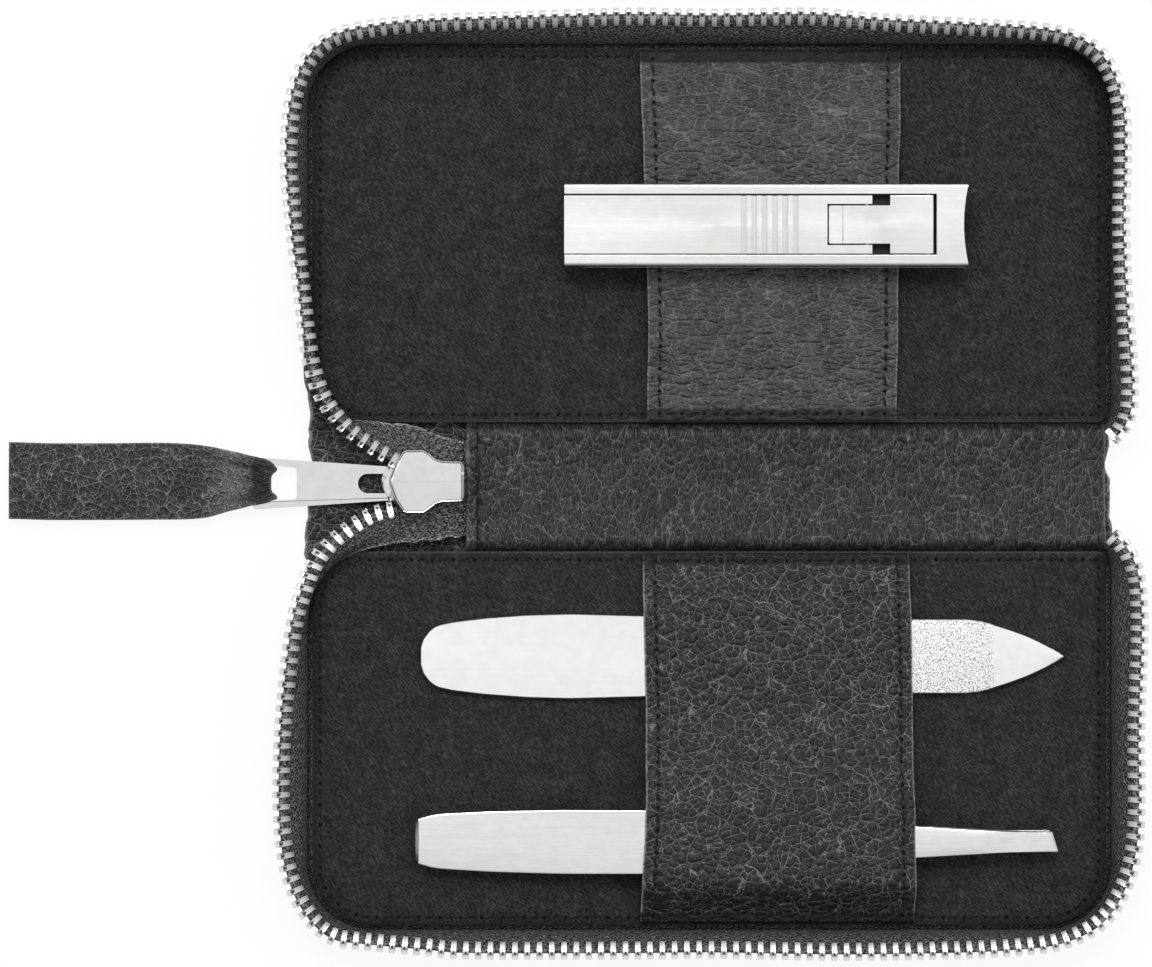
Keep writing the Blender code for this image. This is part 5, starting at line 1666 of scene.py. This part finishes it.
@dataclass
class PullStrap:
    """The leather strap on the pull: one band folded double round the eye's bar and gathered there.

    Attributes:
        left: X of its square-cut end.
        bar: X and height of the eye's bar.
        centre: Y of its axis.
        width: Its full width.
        eye_width: Its width inside the eye.
        thickness: Thickness of one layer.
        low: Height of the middle of the lower layer.
        high: Height of the middle of the upper layer.
        gather: X at which it begins to narrow.
        ears: How far its folded sides stand out beyond the fold's middle.
        taper: X and width of the upper layer towards the eye.
    """

    left: float = -0.1045
    bar: tuple[float, float] = (-0.067641, 0.002056)
    centre: float = 0.0005
    width: float = 0.01145
    eye_width: float = 0.0047
    thickness: float = 0.0010
    low: float = 0.00065
    high: float = 0.0019
    gather: float = -0.0758
    ears: float = 0.0015
    taper: tuple[tuple[float, float], ...] = (
        (-0.0900, 0.01145), (-0.0800, 0.01140), (-0.0752, 0.0107), (-0.0718, 0.0091), (-0.0695, 0.0081),
        (-0.0672, 0.0067), (-0.0645, 0.0058),
    )

    def build(self) -> None:
        """The band: P(s, v) = path point + v width(x) across + ridges that grow towards the eye."""
        bar_x, bar_z = self.bar
        turn = np.linspace(-0.5, 0.5, 9) * math.pi
        loop = np.stack((bar_x + 0.0002 + 0.0015 * np.cos(turn), bar_z + 0.00148 * np.sin(turn)), axis=1)
        stops = [(self.left, self.low), (-0.0900, self.low), (-0.0760, self.low), (-0.0705, self.low)]
        stops += [tuple(p) for p in loop]
        stops += [(-0.0700, 0.00305), (-0.0722, 0.0023), (-0.0760, self.high + 0.0001)]
        stops += [(-0.0900, self.high), (self.left, self.high)]
        path = through(stops, 30)
        run = arc_lengths(path)
        places = fine_at_ends(run[-1], 0.0004, 0.0003)
        line = resampled(path, places)
        x, z = line[:, :1], line[:, 1:]
        narrow = ease((x - self.gather) / (bar_x - 0.0006 - self.gather))
        upper = ease((places[:, None] - run[-1] * 0.5) / 0.003)
        upper_width = np.interp(x, *through(self.taper, 8).T)
        lower_width = np.minimum(self.width + (self.eye_width - self.width) * narrow, upper_width)
        lower_width = lower_width - 0.0003 * ease((x + 0.09) / 0.01)
        width = lower_width + (upper_width - lower_width) * upper
        wander = 0.00015 * soft_noise(x, x * 0, 0.0075, 61)
        v = (fine_at_ends(1.0, 0.025, 0.035) - 0.5)[None, :]
        y = self.centre + wander * (1 - narrow) + 0.0004 * (1 - narrow * (1 - upper)) + v * width
        ahead = unit(np.gradient(line, axis=0))
        normal = np.stack((-ahead[:, 1], ahead[:, 0]), axis=1)
        tight = ease((x + 0.0745) / 0.0055)
        ridges = 0.5 * np.cos(v * 9.5 + 0.6) + 0.35 * np.cos(v * 21 + 1.3 + 2.0 * tight)
        ridges = ridges + 0.3 * soft_noise(x * 0.4, v * 0.03 + 0 * x, 0.004, 62)
        cup = 0.0003 * soft_noise(x * 0.5, v * 0.012 + 0 * x, 0.005, 63) * (1 - tight)
        lift = tight * ridges * 0.00034 * upper + cup * upper
        ears = self.ears * (2 * v) ** 4 * ease((z - bar_z + 0.0007) / 0.0012) * ease((x - bar_x + 0.0010) / 0.0016)
        points = stacked(x - normal[:, :1] * lift + ears, y, z - normal[:, 1:] * lift)
        away = np.minimum(np.minimum(v + 0.5, 0.5 - v) * width, np.minimum(places, run[-1] - places)[:, None])
        thick = rounded_edge(away, 0.0003, self.thickness)
        uv = stacked(x, self.centre + v * self.width)
        # A paler band across the upper layer before it turns round the eye, added to the pale-edge mark.
        pale = bell(x, -0.0712, 0.0026) * upper * 0.3
        worn = ease(1 - away / 0.0004) * 0.2 + pale
        # Painted shade in the valleys between the gathered ridges.
        ridge_valley_shade = tight * upper * np.clip(-ridges, 0, 1) * 0.7
        # Painted shade on the upper layer where it turns round the eye's bar.
        folded = upper * ease((x + 0.0690) / 0.0016) * 0.9
        ply = slab(points, thick, uv, wear=worn, shade=np.clip(np.maximum(ridge_valley_shade, folded), 0, 0.95))
        piece = ply.build("pull_strap_leather", PULL_GRAIN_PAINTED_LIT)
        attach(piece, "pull_strap")
        settle(piece, PULL_GRAIN_PAINTED_LIT, "pull_strap")


@dataclass
class NailFile:
    """The nail file: a steel blade with a rounded handle end, an abrasive patch and a pointed tip.

    Attributes:
        left: X of its handle end.
        centre: Y of its axis.
        bottom: Height of its underside.
        length: Its length.
        width: Its greatest width.
        thickness: Its thickness.
        patch: X at which the abrasive patch begins and ends.
        outline: Place and half width from handle to tip, as shares of the length and the width.
    """

    left: float = -0.0432
    centre: float = -0.02507
    bottom: float = 0.0033
    length: float = 0.0953
    width: float = 0.01265
    thickness: float = 0.0012
    patch: tuple[float, float] = (0.0200, 0.0417)
    outline: tuple[tuple[float, float], ...] = (
        (0.0, 0.1), (0.004, 0.2), (0.012, 0.29), (0.024, 0.362), (0.05, 0.405), (0.1, 0.45), (0.165, 0.486),
        (0.233, 0.5), (0.342, 0.478), (0.55, 0.455), (0.761, 0.436), (0.849, 0.436), (0.87, 0.418), (0.889, 0.378),
        (0.915, 0.315), (0.942, 0.241), (0.97, 0.143), (0.99, 0.06), (1.0, 0.012),
    )

    def build(self) -> None:
        """The blade, with the patch as its own finish."""
        place, half = table(self.outline, 240, 3)
        x = self.left + self.length * place
        for bound in self.patch:
            x[np.argmin(np.abs(x - bound))] = bound
        loop = mirrored_loop(x, half * self.width, self.centre)
        b, t = self.bottom, self.thickness
        steps = (
            (0.00014, b),
            (0.00003, b + 0.00005),
            (0.0, b + 0.00015),
            (0.0, b + t - 0.00022),
            (0.00005, b + t - 0.0001),
            (0.00018, b + t),
        )
        blade = layered(loop, self.centre, steps, 0.00006)
        middle = blade.points[blade.quads].mean(axis=1)
        on_face = (middle[:, 2] > b + t - 0.0001) | (middle[:, 2] < b + 0.00004)
        gritty = (middle[:, 0] > self.patch[0]) & (middle[:, 0] < self.patch[1]) & on_face
        blade.finish_of = gritty.astype(int)
        piece = blade.build("nail_file_blade", FILE_STEEL, GRIT, sharp=30.0)
        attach(piece, "nail_file")
        settle(piece, FILE_STEEL, "nail_file")


@dataclass
class Tweezers:
    """Slant tweezers: two bowed steel legs, joined at their wide end.

    Attributes:
        left: X of the wide end.
        centre: Y of the axis.
        middle: Height of the plane between the legs.
        length: Length of the legs.
        width: Greatest width.
        thickness: Thickness of a leg.
        bow: How far each leg bows out.
        tip_gap: Gap between the tips.
        slant: How far the tip's far corner is cut back.
        outline: Place and half width from the wide end to the tip, as shares of the length and the width.
    """

    left: float = -0.0438
    centre: float = -0.05222
    middle: float = 0.0057
    length: float = 0.0946
    width: float = 0.00944
    thickness: float = 0.0010
    bow: float = 0.0014
    tip_gap: float = 0.0024
    slant: float = 0.0009
    outline: tuple[tuple[float, float], ...] = (
        (0.0, 0.30), (0.003, 0.345), (0.012, 0.39), (0.035, 0.431), (0.12, 0.475), (0.226, 0.5), (0.357, 0.498),
        (0.5, 0.44), (0.64, 0.335), (0.775, 0.244), (0.905, 0.173), (1.0, 0.158),
    )

    def leg(self, name: str, direction: float) -> bpy.types.Object:
        """One leg: a strip of the tabled width that bows away from the middle plane, with a slanted tip.

        Args:
            name: Name of the piece.
            direction: 1 for the upper leg, -1 for the lower one.

        Returns:
            The leg.
        """
        place, half = table(self.outline, 200, 6)
        stops = ((0.0, 0.00015), (0.035, 0.00016), (0.22, 0.0010), (0.45, self.bow), (0.72, 0.00142))
        spread = through((*stops, (1.0, self.tip_gap / 2)), 40)
        rise = np.interp(place, spread[:, 0], spread[:, 1]) + self.thickness / 2
        across = fine_at_ends(2.0, 0.16, 0.12)[None, :] - 1.0
        x = self.left + self.length * place[:, None]
        y = self.centre + half[:, None] * (self.width - 0.0003 * (direction < 0)) * across
        end = ease((place[:, None] - 0.9) / 0.1)
        x = x - self.slant * (across + 1) / 2 * end
        tip = ease((place[:, None] - 0.87 - 0.014 * across) / 0.07)
        crown = 0.0002 * (1 - across**2) * (1 - tip)
        z = self.middle + direction * (rise[:, None] + crown - 0.00016)
        points = stacked(x, y, z)
        to_end = np.minimum(place, 1 - place)[:, None] * self.length
        edge = np.minimum((1 - np.abs(across)) * half[:, None] * self.width, to_end)
        blade = 1 - 0.45 * ease((place[:, None] - 0.93) / 0.07)
        thick = rounded_edge(edge, 0.00016, self.thickness) * blade + 0.0002 * (edge < 1e-9)
        ply = slab(points, thick, points[..., :2])
        return ply.build(name, STEEL, sharp=40.0)

    def build(self) -> None:
        """Both legs."""
        for name, body, direction in (("lower", "tweezers", -1.0), ("upper", "tweezer_upper", 1.0)):
            piece = self.leg(f"tweezers_{name}_leg", direction)
            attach(piece, body)
            settle(piece, STEEL, f"tweezer_leg_{name}")


class Clipper:
    """The slim folding nail clipper, from its machined solids with finely rounded edges.

    Attributes:
        step: The step across the link's face, as one cut.
        floors: Finish and height of the floors of two pieces, by node; both finishes are darker steel that paints the
            shade of the pocket and the grooves.
        pieces: Node, name, body, width of the rounding, cuts and width of the soft rounding of each piece.
    """

    step = ((0.018824, 0.0), (1.0, 0.0), 0.0102, 0.00012)
    floors = {"clipper_upper_leaf": (POCKET_SHADOW, 0.0090), "clipper_lever": (GROOVE_SHADE, 0.01015)}
    pieces = (
        ("clipper_lower_leaf", "lower_leaf", "clipper", 0.00016, (), 0.0),
        ("clipper_upper_leaf", "upper_leaf", "clipper_upper", 0.00009, (), 0.0005),
        ("clipper_link", "cutter_link", "clipper_link", 0.00006, (step,), 0.0),
        ("clipper_lever", "cutter_lever", "clipper_lever", 0.0001, (), 0.0),
    )

    def build(self) -> None:
        """All moving parts of the clipper."""
        for node, name, body, width, cuts, soft in self.pieces:
            piece = refined(node, name, STEEL, width, cuts, soft)
            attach(piece, body)
            if node in self.floors:
                self.floor(piece, *self.floors[node])
        for name in ("clipper_link_pin", "clipper_lever_pin"):
            dress_node(name, STEEL)

    def floor(self, piece: bpy.types.Object, finish: Finish, height: float) -> None:
        """Gives the upward faces below a height a darker finish of their own as painted shade, with more painted shade
        along their edges.

        Args:
            piece: The piece.
            finish: The finish of the floor.
            height: Height below which a face is part of the floor.
        """
        piece.data.materials.append(finish.material())
        work = bmesh.new()
        work.from_mesh(piece.data)
        shade = work.verts.layers.float.new("shade")
        floors = [face for face in work.faces if face.normal.z > 0.9 and face.calc_center_median().z < height]
        for face in floors:
            face.material_index = 1
            for vertex in face.verts:
                vertex[shade] = 0.7
        for face in bmesh.ops.inset_individual(work, faces=floors, thickness=0.00013)["faces"]:
            face.material_index = 1
        # The inner part of each floor loses its shade mark, so the painted shade stays along the edges.
        for face in floors:
            for vertex in face.verts:
                vertex[shade] = 0.0
        work.to_mesh(piece.data)
        work.free()


def build_pull() -> None:
    """The pull tab, with rounded edges and a lower lip along its near side."""
    lip = ((-0.0656, -0.00225), (-0.0312, 0.9995), 0.0023, 0.00032)
    piece = refined("pull_tab", "zip_pull", POLISHED, 0.00012, (lip,))
    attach(piece, "zip_pull")


@dataclass(frozen=True)
class Lamp:
    """A soft lamp that faces the case.

    Attributes:
        name: Name of the lamp.
        place: Its place.
        size: Its width and height.
        power: Its power in watts.
        glints: Whether bright metal mirrors it.
    """

    name: str
    place: tuple[float, float, float]
    size: tuple[float, float]
    power: float
    glints: bool

    def build(self) -> None:
        """The lamp."""
        data = bpy.data.lights.new(self.name, "AREA")
        data.shape = "RECTANGLE"
        data.size, data.size_y = self.size
        data.energy = self.power
        lamp = placed(self.name, data)
        lamp.location = self.place
        lamp.visible_glossy = self.glints
        from_case = np.array(self.place) / np.linalg.norm(self.place)
        lamp.rotation_euler = (math.acos(from_case[2]), 0.0, math.atan2(from_case[0], -from_case[1]))


@dataclass
class Studio:
    """The camera, the floor and the light.

    Attributes:
        eye: Place of the camera, straight above the case.
        lens: Focal length on the sensor.
        sensor: Width of the sensor in millimetres.
        floor_size: Half the width of the floor.
        floor_level: Height of the floor.
        brightest: The direction in which the surroundings are brightest.
        sky_low: Level of the surroundings at the horizon.
        sky_high: Level of the surroundings overhead.
        lamps: The lamps.
    """

    eye: tuple[float, float, float] = (-0.02015, 0.0005, 0.5)
    lens: float = 104.66
    sensor: float = 36.0
    floor_size: float = 3.0
    floor_level: float = -0.0001
    brightest: tuple[float, float, float] = (0.0, 0.3, 0.954)
    sky_low: float = 0.34
    sky_high: float = 0.95
    lamps: tuple[Lamp, ...] = (
        Lamp("key", (-0.06, 0.32, 0.68), (0.55, 0.2), 3.3, True),
        Lamp("fill", (0.5, -0.2, 0.55), (0.4, 0.4), 0.4, False),
    )

    def camera(self) -> None:
        """The camera at the photograph's viewing angle."""
        data = bpy.data.cameras.new("camera")
        data.lens = self.lens
        data.sensor_width = self.sensor
        data.clip_start, data.clip_end = 0.01, 20.0
        camera = placed("camera", data)
        camera.location = self.eye
        bpy.context.scene.camera = camera

    def floor(self) -> None:
        """A pale floor that shows white and keeps a faint shadow."""
        graph = Graph("studio_floor")
        tree = graph.tree
        graph.set(Base_Color=FLOOR_TONE, Roughness=0.9, Specular_IOR_Level=0.1)
        path = graph.node("LightPath")
        seen = graph.sum("MAXIMUM", path.outputs["Is Camera Ray"], path.outputs["Is Glossy Ray"])
        seen = graph.sum("MAXIMUM", seen, path.outputs["Is Transmission Ray"])
        glow = graph.node("Emission", {"Color": WHITE, "Strength": 1.0})
        both = graph.node("MixShader", {0: graph.sum("MULTIPLY", seen, 0.9)})
        tree.links.new(graph.shader.outputs[0], both.inputs[1])
        tree.links.new(glow.outputs[0], both.inputs[2])
        tree.links.new(both.outputs[0], tree.nodes["Material Output"].inputs[0])
        size = self.floor_size
        mesh = bpy.data.meshes.new("floor")
        corners = [(size * x, size * y, self.floor_level) for x, y in ((-1, -1), (1, -1), (1, 1), (-1, 1))]
        mesh.from_pydata(corners, [], [(0, 1, 2, 3)])
        mesh.materials.append(graph.material)
        placed("floor", mesh)

    def sky(self) -> None:
        """A plain surround, white where the camera sees it, that is brighter overhead and towards +Y."""
        world = bpy.data.worlds.new("studio")
        bpy.context.scene.world = world
        world.use_nodes = True
        tree = world.node_tree
        nodes = tree.nodes
        place = nodes.new("ShaderNodeTexCoord")
        dot = nodes.new("ShaderNodeVectorMath")
        dot.operation = "DOT_PRODUCT"
        dot.inputs[1].default_value = self.brightest
        tree.links.new(place.outputs["Generated"], dot.inputs[0])
        level = nodes.new("ShaderNodeMapRange")
        level.interpolation_type = "SMOOTHSTEP"
        for index, value in ((1, 0.3), (2, 0.95), (3, self.sky_low), (4, self.sky_high)):
            level.inputs[index].default_value = value
        tree.links.new(dot.outputs["Value"], level.inputs[0])
        path = nodes.new("ShaderNodeLightPath")
        shown = nodes.new("ShaderNodeMix")
        shown.inputs[3].default_value = 1.0
        tree.links.new(path.outputs["Is Camera Ray"], shown.inputs[0])
        tree.links.new(level.outputs[0], shown.inputs[2])
        tree.links.new(shown.outputs[0], nodes["Background"].inputs["Strength"])
        nodes["Background"].inputs["Color"].default_value = WHITE

    def build(self) -> None:
        """Everything in the studio."""
        self.camera()
        self.floor()
        self.sky()
        for lamp in self.lamps:
            lamp.build()
        bpy.context.scene.view_settings.view_transform = "Standard"


def dress_node(name: str, finish: Finish) -> None:
    """Gives a CAD node that is shown a finish of its own.

    Args:
        name: The node.
        finish: Its finish.
    """
    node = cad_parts[name]
    node.data.materials.clear()
    node.data.materials.append(finish.material())


UPPER_STRAP = HoldingStrap(
    Half.UPPER,
    UPPER_GRAIN_PAINTED_LIT,
    stops=(
        (0.0098, 0.0036), (0.0225, 0.0052), (0.0330, 0.00505), (0.0440, 0.00505), (0.0510, 0.0054),
        (0.0645, 0.0036),
    ),
    left=(-0.00952, -0.00952, -0.0101, -0.0107),
    right=(0.0274, 0.0274, 0.0276, 0.0279),
)
LOWER_STRAP = HoldingStrap(
    Half.LOWER,
    LOWER_GRAIN,
    stops=(
        (0.0098, 0.0036), (0.0141, 0.0038), (0.01795, 0.00525), (0.0322, 0.00525), (0.0394, 0.0067),
        (0.0467, 0.00885), (0.0577, 0.00885), (0.0634, 0.0038), (0.0645, 0.0036),
    ),
    left=(-0.01031, -0.00992, -0.00992, -0.01071),
    right=(0.02919, 0.02958, 0.02958, 0.02998),
)


UPPER_ZIP = ZipRow(
    Half.UPPER,
    line=(
        (-46.8, 3.6), (-48.4, 4.6), (-50.0, 5.55), (-51.5, 6.65), (-53.0, 7.75), (-54.4, 8.95), (-55.6, 10.3),
        (-56.7, 11.7), (-57.6, 13.3), (-58.3, 14.9), (-58.8, 16.6), (-59.25, 18.3), (-59.8, 21.8), (-60.2, 25.3),
        (-60.6, 28.9), (-61.0, 32.5), (-61.5, 36.0), (-62.2, 43.1), (-62.5, 48.5), (-62.2, 54.0), (-61.5, 58.1),
        (-60.2, 61.6), (-58.3, 64.2), (-55.4, 66.2), (-51.0, 67.3), (-44.0, 68.1), (-37.8, 68.4), (-25.0, 68.8),
        (-12.0, 69.2), (0.0, 69.0), (14.0, 69.2), (24.0, 68.4), (37.1, 67.7), (45.9, 67.2), (51.0, 66.5),
        (54.9, 65.0), (57.2, 62.9), (58.6, 60.4), (59.7, 57.0), (60.2, 53.0), (60.2, 46.0), (60.0, 39.8),
        (60.2, 32.4), (60.6, 25.1), (61.2, 17.7), (61.3, 13.5), (61.0, 10.8), (60.1, 8.5), (58.7, 7.0),
    ),
    lip=((-46.2, 9.2), (-50.2, 9.7), (-54.5, 10.3), (-58.0, 13.7), (-59.7, 17.6)),
)
LOWER_ZIP = ZipRow(
    Half.LOWER,
    line=(
        (-46.6, 3.0), (-49.1, 3.55), (-50.8, 4.2), (-52.35, 5.1), (-53.85, 6.1), (-55.4, 7.3), (-56.7, 8.5),
        (-57.9, 9.9), (-58.9, 11.5), (-59.6, 13.1), (-60.2, 14.8), (-60.8, 16.6), (-61.3, 18.3), (-61.95, 21.9),
        (-62.4, 25.5), (-62.8, 29.1), (-63.2, 33.5), (-63.5, 39.0), (-63.6, 45.0), (-63.4, 50.5), (-62.7, 55.6),
        (-61.4, 59.6), (-59.9, 62.3), (-58.0, 64.6), (-55.4, 66.3), (-51.0, 66.9), (-42.2, 67.7), (-35.0, 68.2),
        (-12.0, 68.2), (0.0, 68.1), (19.5, 68.4), (37.1, 68.1), (45.9, 67.6), (50.8, 66.9), (54.7, 65.4),
        (57.0, 63.8), (58.7, 61.8), (60.2, 59.0), (61.4, 55.6), (62.1, 51.0), (62.3, 45.0), (62.2, 38.0),
        (62.4, 30.0), (62.7, 22.0), (62.5, 15.3), (61.8, 11.5), (60.5, 8.8), (58.7, 7.0),
    ),
    lip=((-46.2, 8.2), (-50.4, 9.0), (-54.6, 10.6), (-58.2, 14.0), (-59.8, 17.6)),
)


def main() -> None:
    """Builds the studio and every piece of the case in order."""
    logging.basicConfig(level=logging.INFO, format="%(message)s")
    Studio().build()
    Cover().build()
    SpineLeather().build()
    for half in Half:
        LiningPanel(half).build()
    UPPER_STRAP.build()
    LOWER_STRAP.build()
    UPPER_ZIP.build()
    LOWER_ZIP.build()
    TapeEnd().build()
    Slider().build()
    build_pull()
    PullStrap().build()
    NailFile().build()
    Tweezers().build()
    Clipper().build()
    for name in ("board_lower", "board_upper", "spine_backing"):
        dress_node(name, BOARD)


if __name__ == "__main__":
    main()
